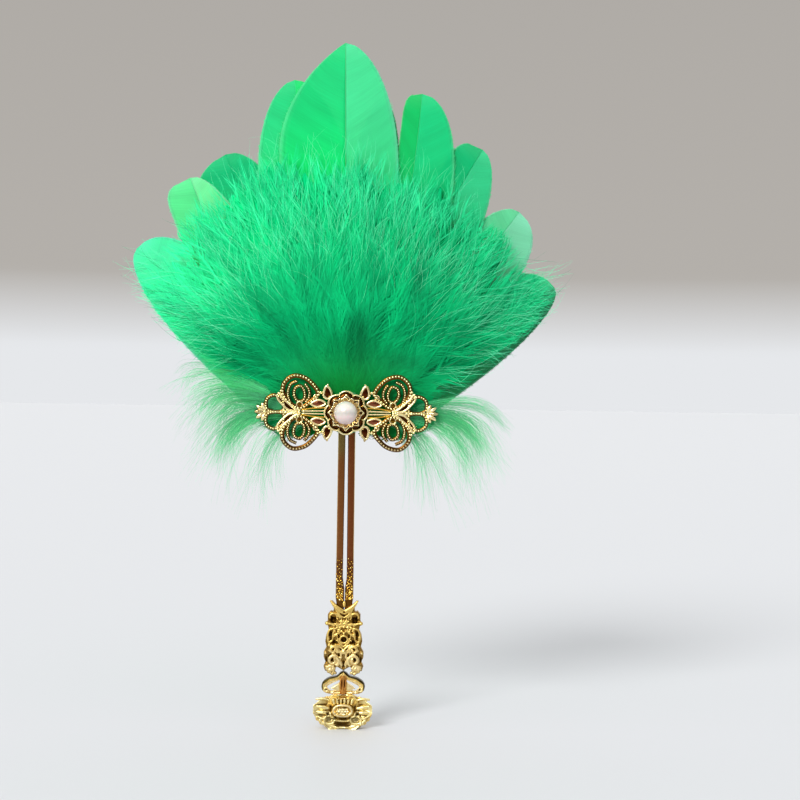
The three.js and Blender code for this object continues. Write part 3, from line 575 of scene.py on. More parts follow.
# layer, side, angle, length, bow, (left width, tip), (right width, tip), where full
FEATHERS = {
    "feather_centre": (4, 0, -1, 1, 0, (1.24, "pointed"), (0.98, "oval"), 0.62),
    "feather_left_1": (3, -1, -9.4, 0.914, -0.01, (0.9, "oval"), (0.85, "oval"), 0.6),
    "feather_right_1": (3, 1, 11.9, 0.889, 0.06, (0.33, "square"), (0.8, "round"), 0.6),
    "feather_left_2": (1, -1, -24.8, 0.778, 0, (0.98, "blunt"), (0.72, "round"), 0.55),
    "feather_right_2": (2, 1, 25.3, 0.804, -0.057, (0.48, "square"), (0.74, "oval"), 0.55),
    "feather_behind": (2, 0, 5.7, 0.857, 0, (0.5, "oval"), (0.46, "oval"), 0.6),
    "feather_left_3": (2, -1, -32.9, 0.766, -0.09, (0.58, "square"), (0.78, "tapered"), 0.5),
    "feather_right_3": (1, 1, 37.9, 0.718, 0, (0.6, "round"), (0.74, "blunt"), 0.5),
    "feather_left_4": (0, -1, -50.5, 0.72, 0.02, (0.84, "tapered"), (0.72, "blunt"), 0.34),
    "feather_right_4": (0, 1, 55.2, 0.652, -0.02, (0.8, "round"), (0.64, "tapered"), 0.34),
}

# Colours: left vane low and high, right vane low and high, then the shaft's left and right side.
# They hold painted light: the shaft's two sides are painted shade and painted highlight, the centre
# feather's right vane is painted paler as if it caught the light, and the feather behind is painted
# dark as shade.
DYES_AND_PAINTED_LIGHT = {
    "feather_centre": "00FF88 20E08C 40EC98 50E8A4 009850 90FFB8",
    "feather_left_1": "30FF98 28E090 00F080 00E880 50FFA8 50FFA8",
    "feather_right_1": "00C86C 00D070 00D078 18D88C 20D880 60F0A0",
    "feather_left_2": "50FFB4 00CC84 50FFB4 00CC84 20DC94 20DC94",
    "feather_right_2": "00BC6C 00C47C 20D088 38D494 30D090 50E0A0",
    "feather_behind": "008E46 009A4E 008E46 009A4E 20B870 30C078",
    "feather_left_3": "48EEA8 66F0A0 90FFC0 88FCB4 60ECA4 C8FFDC",
    "feather_right_3": "48D894 6CDCA4 64DCA4 88E0B8 68DCA8 88E4BC",
    "feather_left_4": "58FFB4 50F8B8 50FFB4 58F8BC 50FFB8 58FFC0",
    "feather_right_4": "10B868 30C888 00A05C 289C68 40C888 60D8A0",
}
QUILL_COLOUR = hexed("CFF5DC")
SHEET_ROWS, SHEET_COLUMNS = np.linspace(0.1, 1, 64), np.linspace(0, 0.98, 17)
SHAFT_SIDES, SHAFT_POINTS = 12, 50
FRINGE_ENDS = np.array([0.9, 0.965, 1.0])
FRINGE_RADII = np.array([0.1, 0.09, 0.03])
UV_GAP = 40


class FanFeathers(bpy.types.PropertyGroup):
    """Sizes of the stiff vane feathers."""

    thickness: length("Vane", "Thickness of a vane", 0.00014)
    slant: FloatProperty(name="Slant", description="How far a barb's end lies ahead of its root, as a share of the "
                         "feather's length", default=0.13, min=0, max=0.24)
    fringe: number("Fringe", "Loose barb ends along the edge of a vane", 620)


def shaft_curve(row, along):
    """Points and directions on a feather's shaft, a quadratic Bezier curve from the hub to the tip."""
    _, side, degrees, length_share, bow_share = row[:5]
    reach = FEATHER_LENGTH * length_share
    sin, cos = math.sin(math.radians(degrees)), math.cos(math.radians(degrees))
    root = np.array([side * HUB_SPREAD, HUB_HEIGHT - HUB_SPREAD * ROOT_DROP_SHARE])
    tip = np.array([sin * reach, HUB_HEIGHT + cos * reach])
    knee = (root + tip) / 2 + np.array([cos, -sin]) * bow_share * reach
    t = along[..., None]
    spot = (1 - t) ** 2 * root + 2 * t * (1 - t) * knee + t * t * tip
    ahead = 2 * (1 - t) * (knee - root) + 2 * t * (tip - knee)
    return spot, ahead / np.linalg.norm(ahead, axis=-1, keepdims=True)


def vane_places(row, side, u, v, slant):
    """Points of a vane, from a barb's root u on the shaft and the share v of the barb's length.

    At v the barb has gone v * slant * (1 - u^4) along the shaft and stands v times the vane's
    width off it, on a shallow bowl that the vane's own camber deepens with the square of v."""
    layer, _, _, _, _, left, right, full_share = row
    share, form = left if side < 0 else right
    exponent, root, start = TIPS[form]
    along = np.minimum(u + v * slant * (1 - u ** 4), 1)
    spot, ahead = shaft_curve(row, along)
    tip = np.clip((along - start) / (1 - start), 0, 1)
    width = VANE_HALF_WIDTH * share * ease(0.12, full_share, along) * (1 - tip ** exponent) ** (1 / root)
    across = side * v * width
    x = spot[..., 0] + ahead[..., 1] * across
    z = spot[..., 1] - ahead[..., 0] * across
    roll = 0.10 * np.sin(along * 9 + layer * 2 + side) * v
    y = layer_middle(layer) + VANE_CAMBER * (across / VANE_HALF_WIDTH) ** 2 + bowl(x, z) + roll
    return np.stack([x, y, z], -1), along, width


def vane_shade(low, high, along, v):
    """Colour of a vane: from the low dye to the high one up the feather, paler at the edge and the tip as a painted
    highlight.
    """
    shade = mix(low, high, ease(0.5, 0.92, along)[..., None])
    # painted highlight: paler along the vane's outer edge and at its tip
    pale = 0.4 * ease(0.88, 1.0, v) + 0.4 * ease(0.95, 0.98, v) + 0.2 * ease(0.94, 1.0, along)
    return mix(shade, np.minimum(high * 1.25 + 0.16, 1), np.clip(pale, 0, 1)[..., None])


def vane_parts(row, side, colours, settings, rng):
    """One vane: a thin sheet of barbs, and the loose barb ends along its edge, each with colours and UVs."""

    def grid(u, v):
        places, along, width = vane_places(row, side, u, v, settings.slant)
        shade = vane_shade(*colours, along, np.broadcast_to(v, along.shape))
        uv = np.stack([u * FEATHER_LENGTH * row[3] + 0 * v, side * v * width + UV_GAP * side], -1)
        return places, shade.reshape(-1, 3), uv.reshape(-1, 2)

    places, shade, uv = grid(SHEET_ROWS[None, :, None], SHEET_COLUMNS[None, None, :])
    half = np.array([0, settings.thickness / MM / 2, 0])
    sheet = slabs(places - half, places + half), np.tile(shade, (2, 1)), np.tile(uv, (2, 1))

    count, tuft = settings.fringe, 5
    u = np.sort(rng.uniform(0.13, 0.995, count))[:, None]
    ragged = np.repeat(rng.normal(0, 0.012, count // tuft + 1), tuft)[:count, None] + rng.normal(0, 0.008, (count, 1))
    ends, shade, uv = grid(u, FRINGE_ENDS + ragged * np.array([0, 0.4, 1]))
    loose = tubes(ends, FRINGE_RADII * rng.uniform(0.6, 1.2, (count, 1)))
    return [sheet, (loose, np.repeat(shade, 3, 0), np.repeat(uv, 3, 0))]


def feather_piece(name, row, settings, seed):
    rng = np.random.default_rng(seed)
    dyes_and_light = [hexed(code) for code in DYES_AND_PAINTED_LIGHT[name].split()]
    made = vane_parts(row, -1, dyes_and_light[0:2], settings, rng) + vane_parts(row, 1, dyes_and_light[2:4], settings, rng)
    along = 1 - (1 - np.linspace(0, 1, SHAFT_POINTS)) ** 1.3
    spot, _ = shaft_curve(row, along)
    radius = mix(QUILL_WIDTH, SHAFT_TIP_WIDTH * 0.5, ease(0, 0.8, along)) / 2
    shaft = tubes(laid(spot, layer_middle(row[0]) + bowl(spot[:, 0], spot[:, 1])), radius, SHAFT_SIDES)
    # Painted shade and highlight: the shaft is darker down one side and paler down the other, as light from one side
    # would leave it; towards the root it takes the quill's own pale colour.
    turn = np.tile(np.cos(around(SHAFT_SIDES)), len(along))
    colour = mix(dyes_and_light[4], dyes_and_light[5], ease(-0.25, 0.15, turn)[:, None])
    colour = mix(QUILL_COLOUR, colour, ease(0.1, 0.5, np.repeat(along, SHAFT_SIDES)[:, None]))
    parts, shades, uvs = zip(*made, (shaft, colour, np.zeros((len(turn), 2))))
    dress(write_piece(name + "_vane", joined(parts), np.concatenate(shades), np.concatenate(uvs)),
          "vane", "vane_feather", name)


class FAN_OT_feathers(bpy.types.Operator):
    """Ten stiff vane feathers, each with a vane of fine barbs on both sides of a tapered shaft"""

    bl_idname = "fan.feathers"
    bl_label = "Vane feathers"

    def execute(self, context):
        for seed, (name, row) in enumerate(FEATHERS.items()):
            feather_piece(name, row, context.scene.fan_feathers, 100 + seed)
        return {"FINISHED"}


# Plumes and down

class FanPlumes(bpy.types.PropertyGroup):
    """Sizes and colours of the fluffy plumes."""

    wool: number("Wool", "Strands of soft wool on a plume", 620)
    barbs: number("Barbs", "Crisp strands on the front of a plume", 1000)
    wool_width: length("Wool width", "Width of a strand of wool", 0.00046)
    barbs_width: length("Barb width", "Width of a crisp strand", 0.00031)
    stray: number("Stray hairs", "Thin bright hairs on and past a plume", 200)
    deep: dye("Deep", "Colour near the hub", "007A2A")
    body: dye("Body", "Colour of the body", "00C87A")
    # tips is also the colour that the painted highlights on the crisp barbs and stray hairs go towards
    tips: dye("Tips", "Colour of the tips", "40F2AC")
    down: dye("Down", "Colour of the loose down", "74E8AC")


LONG_REACH_SHARES = (1.0, 1.1, 1.12, 1.07, 1.05, 1.05, 0.98)
RUFF_REACH_SHARES = (0.98, 1.06, 1.08, 1.07, 1.04, 0.97)
SKIRT_ANGLE, SKIRT_HALF, SKIRT_REACH = math.radians(82), math.radians(20), 46

# How far the spread reaches from the hub at angles from upright, negative to the left: less in the
# notches between the stiff feathers' tips, and along lower edges that are nearly straight
EDGE = np.array((
    (-180, 8), (-116, 10), (-104, 24), (-90, 38), (-80, 42), (-75.8, 47), (-70.3, 59), (-65.3, 72), (-62, 88),
    (-59.4, 101), (-56.6, 112), (-54, 121), (-49, 121), (-45, 115), (-43, 116), (-39, 121), (-33, 125), (-30, 128),
    (-27, 140), (-20, 150), (20, 150), (28, 124), (33, 112), (38, 114), (43, 113), (47, 106), (51, 112), (54, 116),
    (56.6, 112), (59.4, 101), (62, 88), (65.3, 72), (70.3, 59), (75.8, 47), (80, 42), (90, 38), (104, 24), (116, 10),
    (180, 8),
))

# Places where the plumes part, painted darker as shadow: x, height over the hub, half widths, depth
PARTING_SHADOWS = ((4, 46, 4, 10, 0.45), (6, 34, 6, 9, 0.3), (27, 30, 12, 4, 0.4), (46, 46, 10, 5, 0.25), (32, 66, 4, 12, 0.3),
            (-24, 30, 14, 6, 0.2), (14, 62, 3, 16, 0.2))


def edge_at(angle):
    return np.interp(np.degrees(angle), EDGE[:, 0], EDGE[:, 1])


def long_row(x, z):
    """The depth at which the long row of plumes starts at a place, and its fullness there."""
    return np.full_like(x, PLUME_BACK), fullness(x, z, PLUME_BODY, PLUME_REACH)


def ruff_row(x, z):
    """The same for the short row, which lies on the long one."""
    back, depth = long_row(x, z)
    return back - depth - ROW_GAP, fullness(x, z, RUFF_BODY, RUFF_REACH)


def fluff_rays_and_painted_light(x, rise, angle, radius):
    """Painted light and shade over the whole head: brighter to the left and darker to the right, as the key
    lamp at the left would light it, in soft rays, and painted shadow in the partings.
    """
    rays = 0.07 * np.sin(angle * 17 + radius * 0.03) + 0.06 * np.sin(angle * 41 + 1.7 + radius * 0.05)
    side = np.clip(x / 60, -1, 1)
    # painted light: darker to the right, darker near the hub on the left, brighter far out to the left
    tone = 0.93 - 0.18 * np.maximum(side, 0) - np.minimum(side, 0) * mix(-0.14, 0.26, ease(62, 94, radius))
    tone = tone + rays * ease(15, 50, radius)
    # painted shadow in each parting
    for middle_x, middle_z, wide, high, depth in PARTING_SHADOWS:
        tone = tone * (1 - depth * np.exp(-((x - middle_x) / wide) ** 2 - ((rise - middle_z) / high) ** 2))
    return tone


def fluff_dye_and_light(settings, x, z):
    """Dye at a place: deep near the hub, then the body's colour, paler far out to the left; all times the
    painted light and shade over the head.
    """
    rise = z - HUB_HEIGHT
    angle, radius = np.arctan2(x, rise), np.hypot(x, rise)
    deep, body, tips = (np.array(colour) for colour in (settings.deep, settings.body, settings.tips))
    degrees = np.degrees(angle)
    pale = ease(70, 102, radius) * (0.55 * ease(-30, -52, degrees) + 0.2 * ease(28, 46, degrees))
    shade = mix(mix(deep, body, ease(14, 60, radius)[..., None]), tips, pale[..., None])
    return shade * fluff_rays_and_painted_light(x, rise, angle, radius)[..., None]


def grown(origin, start, launch, back, curl, wave, reached, points):
    """Strands in the plane of the fan, by adding up short steps.

    A strand starts at the given angle and distance from the hub. At t of its length it points
    along origin + launch * (1 - back * t) + curl * t + wave * sin(5 t + phase)."""
    t = (np.arange(points - 1) + 0.5) / (points - 1)
    turn = (origin + launch)[:, None] + (curl - launch * back)[:, None] * t
    turn = turn + wave[0][:, None] * np.sin(5 * t + wave[1][:, None])
    step = reached[:, None] / (points - 1)
    zero = np.zeros((len(start), 1))
    x, z = ((way(origin) * start)[:, None] + np.concatenate([zero, np.cumsum(way(turn) * step, 1)], 1)
            for way in (np.sin, np.cos))
    return x, HUB_HEIGHT + z


def kept_inside(strands, reached, over, points, reach):
    """Cuts strands short where they would leave the spread, by the share that lies inside it.

    strands are the other values for grown; over is how far past the edge each may stand."""
    dense = 14
    x, z = grown(*strands, reached, dense)
    rise = z - HUB_HEIGHT
    outside = np.hypot(x, rise) > np.minimum(edge_at(np.arctan2(x, rise)), reach[:, None]) + over[:, None]
    first = np.where(outside.any(1), outside.argmax(1), dense)
    share = np.clip(first / dense, 0, 1)
    return *grown(*strands, reached * share, points), share > 0.3


def bundled(x, z, offset, t):
    """Sets the strands of a bundle off its middle line by offset * (1 - t^1.6), so that they meet in a point."""
    ahead = np.stack([np.gradient(x, axis=1), np.gradient(z, axis=1)])
    ahead = ahead / np.maximum(np.linalg.norm(ahead, axis=0), 1e-9)
    away = offset[:, None] * (1 - t ** 1.6)
    return x + ahead[1] * away, z - ahead[0] * away


SPRAY = 5
WISP = 12


def draws(count, size):
    """Two ways to draw: one value for each of the bundles of a size, and one for each strand."""
    def shared(draw, *values):
        return np.repeat(draw(*values, size=-(-count // size)), size)[:count]

    def own(draw, *values):
        return draw(*values, size=count)

    return shared, own


# The two kinds of strand that lie in sprays. Angles in degrees, lengths in millimetres; pairs run
# from the hub outwards, or from low to high, or are a mean and a spread
WOOL = dict(kind="wool", points=6, fan=0.42, launch=(40, 20), turns=(10, 3), back=0.4, curl=(0, 0.35), kink=0.1,
            wave=0.12, lengths=(20, 13), stretch=(0.8, 1.4), short=0.75, limit=(0.93, 0.05), over=0.5, bundle=0.7,
            depths=(0.6, 0.92), taper=1.5, widths=(0.7, 1.25))
BARBS = dict(kind="barbs", points=8, fan=0.55, launch=(26, 14), turns=(11, 2), back=0.35, curl=(0.05, 0.3), kink=0.05,
             wave=0.06, lengths=(22, 13), stretch=(0.7, 1.4), short=0.7, limit=(0.97, 0.08), over=1.3, bundle=0.9,
             depths=(0.66, 1.02), taper=1.4, widths=(0.6, 1.2))


def sprays(settings, rng, style, mid, half, reach, row):
    """Strands on a plume in sprays of five, launched to both sides of its shaft: soft locks of wool, or
    crisp pointed bundles of barbs on the front, most with bright tips as a painted highlight, some dark
    as painted shade between the clumps."""
    crisp = style["kind"] == "barbs"
    count = getattr(settings, style["kind"])
    shared, own = draws(count, SPRAY)
    along = shared(rng.beta, 1.8, 1.0) if crisp else shared(rng.uniform, 0, 1)
    side = shared(rng.choice, (-1.0, 1.0))
    if crisp:
        start = mix(0.42, 0.88, along) * reach
        origin = mid + shared(rng.normal, 0, style["fan"] * half)
    else:
        start = mix(PLUME_ROOT_RADIUS, 0.84 * reach, along) + own(rng.normal, 0, 2)
        start = np.maximum(start, PLUME_ROOT_RADIUS)
        origin = mid + shared(rng.normal, 0, style["fan"] * half) * (1 + 6 / start)
    turn, jitter = style["turns"]
    launch = mix(*style["launch"], along) + shared(rng.normal, 0, turn) + own(rng.normal, 0, jitter)
    curl = shared(rng.normal, *style["curl"]) * (side if crisp else 1) + own(rng.normal, 0, style["kink"])
    wave = (own(rng.uniform, 0, style["wave"]), shared(rng.uniform, 0, 6.3))
    reached = mix(*style["lengths"], along) * shared(rng.uniform, *style["stretch"])
    reached = reached * own(rng.uniform, style["short"], 1)
    limit = reach * shared(rng.normal, *style["limit"])
    over = own(rng.exponential, style["over"])
    if crisp:
        over = over - own(rng.exponential, 4) * ease(0.9, 0.7, abs(mid))
    strands = (origin, start, side * np.radians(launch), style["back"], curl, wave)
    x, z, keep = kept_inside(strands, reached, over, style["points"], limit)
    t = np.linspace(0, 1, style["points"])[None]
    x, z = bundled(x, z, own(rng.normal, 0, style["bundle"]), t)
    depth = (shared(rng.uniform, *style["depths"]) + own(rng.normal, 0, 0.03))[:, None] * mix(0.85, 1, t)
    back, full = row(x, z)
    y = back - np.clip(depth, 0.02, None if crisp else 1) * full + bowl(x, z)
    if crisp:
        y = y - shared(rng.exponential, 0.7)[:, None] * t ** 2
    width = getattr(settings, style["kind"] + "_width") / MM
    radii = width / 2 * mix(1, 0.2, t ** style["taper"]) * own(rng.uniform, *style["widths"])[:, None]
    shade = fluff_dye_and_light(settings, x, z)
    if crisp:
        radius = np.hypot(x, z - HUB_HEIGHT)
        outer = ease(58, 90, radius)
        # painted shade: about one bundle in seven is darkened, and gets no highlight, as the shade between clumps
        dark = (shared(rng.uniform, 0, 1) < 0.14)[:, None]
        # painted highlight: the tips go towards the tips colour, more to the left where the key lamp falls, and most
        # far out
        lit = ease(0.05, 0.7, t) * outer * mix(1.0, 0.6, ease(-0.5, 0.7, mid)) * (1 - dark)
        lit = lit * shared(rng.beta, 0.8, 1.8)[:, None] + 0.26 * ease(86, 106, radius) * ease(1.0, 0.3, mid)
        shade = mix(shade, np.array(settings.tips), np.clip(lit, 0, 1)[..., None])
        # random tone; the dark bundles a little darker as painted shade, the far barbs a little brighter as painted
        # light
        tone = 1 + 0.09 * shared(rng.normal, 0, 1) + 0.06 * own(rng.normal, 0, 1)
        tone = tone[:, None] * (1 - dark * 0.16) * mix(1.0, 1.07, outer)
    else:
        tone = (shared(rng.normal, 1.0, 0.06) * own(rng.normal, 1, 0.03))[:, None]
    shade = np.clip(shade * tone[..., None], 0.001, 1)
    return np.stack([x, y, z], -1)[keep], radii[keep], shade[keep]


# Pale colour of the stray hairs, partly their own and partly a painted highlight
STRAY_PALE_AND_HIGHLIGHT = hexed("96FFD0")


def stray_strands(settings, rng, mid, half, reach, row):
    """Single thin hairs, most of them bright, partly as a painted highlight, some dark as painted shade:
    on the middle plumes they lie across the others, and on the outer ones they turn down and stand out
    past the edge."""
    low = ease(0.7, 0.9, abs(mid))
    count, points = int(settings.stray * mix(1, 1.7, low)), 9
    _, own = draws(count, 1)
    start = own(rng.uniform, mix(0.5, 0.36, low), 0.96) * reach
    origin = mid + own(rng.normal, 0, 0.6 * half)
    launch = np.radians(own(rng.normal, 0, mix(17, 18, low)) + np.sign(mid) * 36 * low)
    curl, wave = own(rng.normal, 0, 0.5), (own(rng.uniform, 0, 0.1), own(rng.uniform, 0, 6.3))
    reached = own(rng.uniform, 12, mix(20, 34, low))
    over, limit = own(rng.uniform, 2, 15) * low, reach * own(rng.uniform, 0.95, 1.08)
    x, z, keep = kept_inside((origin, start, launch, 0.2, curl, wave), reached, over, points, limit)
    likely = ease(mix(60, 34, low), 98, start + reached * 0.6) * mix(0.75, 0.8, low)
    keep = keep & (own(rng.uniform, 0, 1) < likely)
    t = np.linspace(0, 1, points)[None]
    back, full = row(x, z)
    y = back - own(rng.uniform, 0.86, 1.08)[:, None] * full - t ** 2 * own(rng.uniform, 0, 2)[:, None] + bowl(x, z)
    radii = mix(0.064, 0.085, low) * mix(1, 0.3, t) * own(rng.uniform, 0.6, 1.2)[:, None]
    shade = mix(np.array(settings.tips), STRAY_PALE_AND_HIGHLIGHT, own(rng.uniform, 0, 0.7)[:, None, None])
    # painted shade: some hairs darkened to a third, and those to the right a little, away from the lamp at the left
    dark = own(rng.uniform, 0, 1) < mix(0.04, 0.3, low)
    shade = shade * np.where(dark, 0.3, mix(1, 0.9, ease(-0.3, 0.6, mid)))[:, None, None]
    shade = mix(fluff_dye_and_light(settings, x, z), np.broadcast_to(shade, (count, points, 3)), ease(0, 0.4, t)[..., None])
    return np.stack([x, y, z], -1)[keep], radii[keep], np.clip(shade, 0.001, 1)[keep]


# Locks in the wool's front: waves round the hub, drift of their phase outwards, weight
LOCKS = ((53, 0.11, 0.34), (89, 0.07, 0.3), (139, 0.16, 0.2), (197, 0.09, 0.16))


def wool_body(settings, rng, mid, half, reach, row):
    """The matted body of a plume: a crowned lobe on a grid of rays and distances from the hub.

    At the share s across the lobe its front stands (0.76 - 0.24 s^2) of the plume's depth out, and the
    locks of wool add a sum of sines of the angle and of the distance to it."""
    s, t = np.linspace(-1, 1, 49)[:, None], np.linspace(0, 1, 60)[None]
    angle = mid + s * half * 1.04
    ragged = 0.03 * np.sin(angle * 37) + 0.03 * np.sin(angle * 113 + rng.uniform(0, 6)) * np.sin(angle * 29)
    inset = mix(12, 2.5, ease(0.7, 0.9, abs(mid)))
    far = np.minimum(edge_at(angle) - inset, reach * 0.9) * (1 - 0.06 * s ** 2) * (1 + ragged)
    radius = mix(PLUME_ROOT_RADIUS, far, t)
    x, z = np.sin(angle) * radius, HUB_HEIGHT + np.cos(angle) * radius
    locks = 0.0
    for waves, drift, weight in LOCKS:
        locks = locks + weight * np.sin(angle * waves + radius * drift * rng.choice([-1, 1]) + rng.uniform(0, 6))
    back, full = row(x, z)
    depth = full * (0.76 - 0.24 * s ** 2 + 0.12 * locks) * (1 - 0.75 * ease(0.8, 1, t))
    back = back + bowl(x, z)
    fronts, backs = (np.stack([x, y, z], -1)[None] for y in (back - np.maximum(depth, 0.25), back - 0.05))
    # painted shade and light: darker in the grooves between the locks, lighter on their crests
    shade = np.clip(fluff_dye_and_light(settings, x, z) * (1.03 + 0.12 * locks)[..., None], 0.001, 1)
    uv = np.stack([radius, angle * 70 + 0 * radius], -1)
    return slabs(fronts, backs), np.tile(shade.reshape(-1, 3), (2, 1)), np.tile(uv.reshape(-1, 2), (2, 1))


def strand_piece(name, groups, look, *nodes):
    """All strands of a piece as one mesh, whatever number of points they have."""
    parts = [tubes(paths, radii, flat=0.5, turn=math.pi / 2) for paths, radii, _ in groups]
    shades = [np.repeat(shade.reshape(-1, 3), 3, 0) for _, _, shade in groups]
    dress(write_piece(name, joined(parts), np.concatenate(shades), smooth=False), look, look, *nodes)


class FAN_OT_plumes(bpy.types.Operator):
    """Two rows of fluffy plumes that spread from the hub in front of the stiff feathers"""

    bl_idname = "fan.plumes"
    bl_label = "Plumes"

    def execute(self, context):
        settings = context.scene.fan_plumes
        span = PLUME_SPREAD / PLUME_COUNT
        for title, shares, reach, row, seed in (("plume", LONG_REACH_SHARES, PLUME_REACH, long_row, 200),
                                                ("ruff_plume", RUFF_REACH_SHARES, RUFF_REACH, ruff_row, 300)):
            for k, share in enumerate(shares):
                rng = np.random.default_rng(seed + k)
                mid, half = math.radians((k - (len(shares) - 1) / 2) * span), math.radians(span / 2)
                spot = (mid, half, reach * share, row)
                groups = [sprays(settings, rng, WOOL, *spot), sprays(settings, rng, BARBS, *spot),
                          stray_strands(settings, rng, *spot)]
                name = f"{title}_{k + 1}"
                strand_piece(name + "_barbs", groups, "plume", name)
                dress(write_piece(name + "_wool", *wool_body(settings, rng, *spot)), "wool", "plume")
        for side, name in ((-1, "left"), (1, "right")):
            rng = np.random.default_rng(500 + side)
            spot = (side * SKIRT_ANGLE, SKIRT_HALF, SKIRT_REACH, long_row)
            strand_piece(name + "_skirt_barbs", [sprays(settings, rng, WOOL, *spot)], "plume")
            dress(write_piece(name + "_skirt_wool", *wool_body(settings, rng, *spot)), "wool", "plume")
        return {"FINISHED"}


# The down beside the brooch: ends a and b of the line that the hairs leave, over the hub, then for
# a and b the angle at which they leave, the angle at which they end and their length, then the count
TUFTS = {
    "tuft_left_outer": ((-70, 34), (-38, 7), (-98, -112), (-152, -176), (16, 39), 1300),
    "tuft_left_inner": ((-42, 7), (-26, 2), (-120, -160), (-182, -190), (38, 36), 200),
    "tuft_right_outer": ((60, 20), (40, 6), (108, 122), (150, 176), (21, 39), 800),
    "tuft_right_inner": ((44, 7), (27, 2), (126, 160), (178, 188), (50, 30), 320),
}


def tuft_strands(row, seed, colour):
    """Loose down: each hair is a cubic Bezier curve out of the fluff, leaving at one angle and
    ending at another, nearly hanging. Hairs of a wisp share their curve and part a little."""
    end_a, end_b, leave, hang, lengths, count = row
    rng = np.random.default_rng(seed)
    shared, own = draws(count, WISP)
    at = shared(rng.beta, 2.2, 1.0) + own(rng.normal, 0, 0.015)
    root = mix(np.array(end_a), np.array(end_b), at[:, None]) + rng.normal(0, 0.6, (count, 2))
    angles = [mix(*leave, at) + shared(rng.normal, 0, 12) + own(rng.normal, 0, 4),
              mix(*hang, at) + shared(rng.normal, 0, 14) + own(rng.normal, 0, 6)]
    reached = mix(*lengths, at) * (shared(rng.beta, 3, 2) * 1.1 + 0.25) * own(rng.uniform, 0.8, 1.1)
    first, last = (np.stack([np.sin(way), np.cos(way)], -1) * reached[:, None] / 2 for way in np.radians(angles))
    knots = [root * 0.55, root, root + first, root + first + last]
    points = 9
    t = np.linspace(0, 1, points)[None, :, None]
    bends = ((1 - t) ** 3, 3 * t * (1 - t) ** 2, 3 * t * t * (1 - t), t ** 3)
    flat = sum(weight * knot[:, None] for weight, knot in zip(bends, knots))
    x, z = flat[..., 0], HUB_HEIGHT + flat[..., 1]
    t = t[..., 0]
    y = PLUME_BACK - shared(rng.uniform, -1, 2.5)[:, None] + shared(rng.normal, 0, 2.5)[:, None] * t ** 2
    y = y + own(rng.normal, 0, 0.7)[:, None] * t + bowl(x, z)
    radii = 0.036 * mix(1, 0.3, t ** 2) * own(rng.uniform, 0.6, 1.5)[:, None]
    tone = shared(rng.normal, 1, 0.12) * own(rng.normal, 1, 0.1)
    shade = np.clip(np.array(colour) * tone[:, None, None], 0.001, 1)
    return np.stack([x, y, z], -1), radii, np.broadcast_to(shade, (count, points, 3))


class FAN_OT_tufts(bpy.types.Operator):
    """Four tufts of loose translucent down that droop on both sides of the brooch"""

    bl_idname = "fan.tufts"
    bl_label = "Down"

    def execute(self, context):
        for seed, (name, row) in enumerate(TUFTS.items()):
            strand_piece(name + "_hairs", [tuft_strands(row, 400 + seed, context.scene.fan_plumes.down)], "down", name)
        return {"FINISHED"}


# Gilt pieces

GOLD = {name: hexed(code) for name, code in {
    "cream": "FFECB4", "pale": "F6DA8A", "mid": "D8AE46", "deep": "80601A", "brown": "4A2A0C", "pit": "1E1004",
    "rose": "8A5038", "wine": "52260E", "strip": "6A4616", "spot": "9A6A2C", "olive": "7C7040", "petal": "FFF6DC",
    "prong_left": "84532E", "prong_right": "7C4626", "tail_low": "7E5C1C", "tail_high": "F2D27A", "leaf": "C07A30",
    "shadow": "3E3410", "rim": "B48C30", "peony_low": "BE9636", "peony_high": "FFF0B0",
}.items()}
QUARTERS = ((1, 1), (-1, 1), (1, -1), (-1, -1))
HALVES = QUARTERS[:2]


class FanGilt(bpy.types.PropertyGroup):
    """Sizes of the wires and beads of the brooch, and how finely the castings are made."""

    wire: length("Wire", "Radius of the brooch's main wires", 0.00042)
    fine: length("Fine wire", "Radius of its fine wires", 0.00031)
    bead: length("Bead", "Radius of the beads in a row", 0.00037)
    pitch: length("Pitch", "From one bead of a row to the next", 0.00096)
    voxel: length("Grain", "Size of the finest form in a casting", 0.00022, min=0.0001)


def write_coloured(name, pairs):
    """A piece of several parts, with a colour for each part or for each of its points."""
    shades = [np.broadcast_to(colour, (len(part[0]), 3)) for part, colour in pairs]
    return write_piece(name, joined([part for part, _ in pairs]), np.concatenate(shades))


def cushion(outline, back, depth, crown, steps=5):
    """A plate with a domed front inside an outline.

    At share s of the way in, the front stands depth + crown * (1 - (1 - s)^2) before the back."""
    share = np.concatenate([[0, 0], np.linspace(0, 0.98, steps)[1:]])
    front = np.concatenate([[0], np.full(steps, depth)]) + crown * (1 - (1 - share) ** 2)
    middle = outline.mean(0)
    return skin(laid(middle + (outline - middle) * (1 - share)[:, None, None], (back - front)[:, None]))


def spaced(points, pitch, offset=0.0):
    """Places a pitch apart along a line of many points, set off to the left of its run."""
    run = np.concatenate([[0], np.cumsum(np.linalg.norm(np.diff(points, axis=0), axis=1))])
    count = max(1, round(run[-1] / pitch))
    at = (np.arange(count) + 0.5) / count * run[-1]
    spot, ahead = (np.stack([np.interp(at, run, line[:, k]) for k in range(2)], -1)
                   for line in (points, np.gradient(points, axis=0)))
    ahead /= np.linalg.norm(ahead, axis=1, keepdims=True)
    return spot + np.stack([-ahead[:, 1], ahead[:, 0]], -1) * offset


def mirrored(part, ways, height=0.0):
    """Copies of a part, mirrored about X = 0 and about a height, by pairs of signs."""
    points, faces = part
    return joined([(points * (flip_x, 1, flip_z) + (0, 0, (1 - flip_z) * height),
                    faces if flip_x * flip_z > 0 else [group[:, ::-1] for group in faces])
                   for flip_x, flip_z in ways])


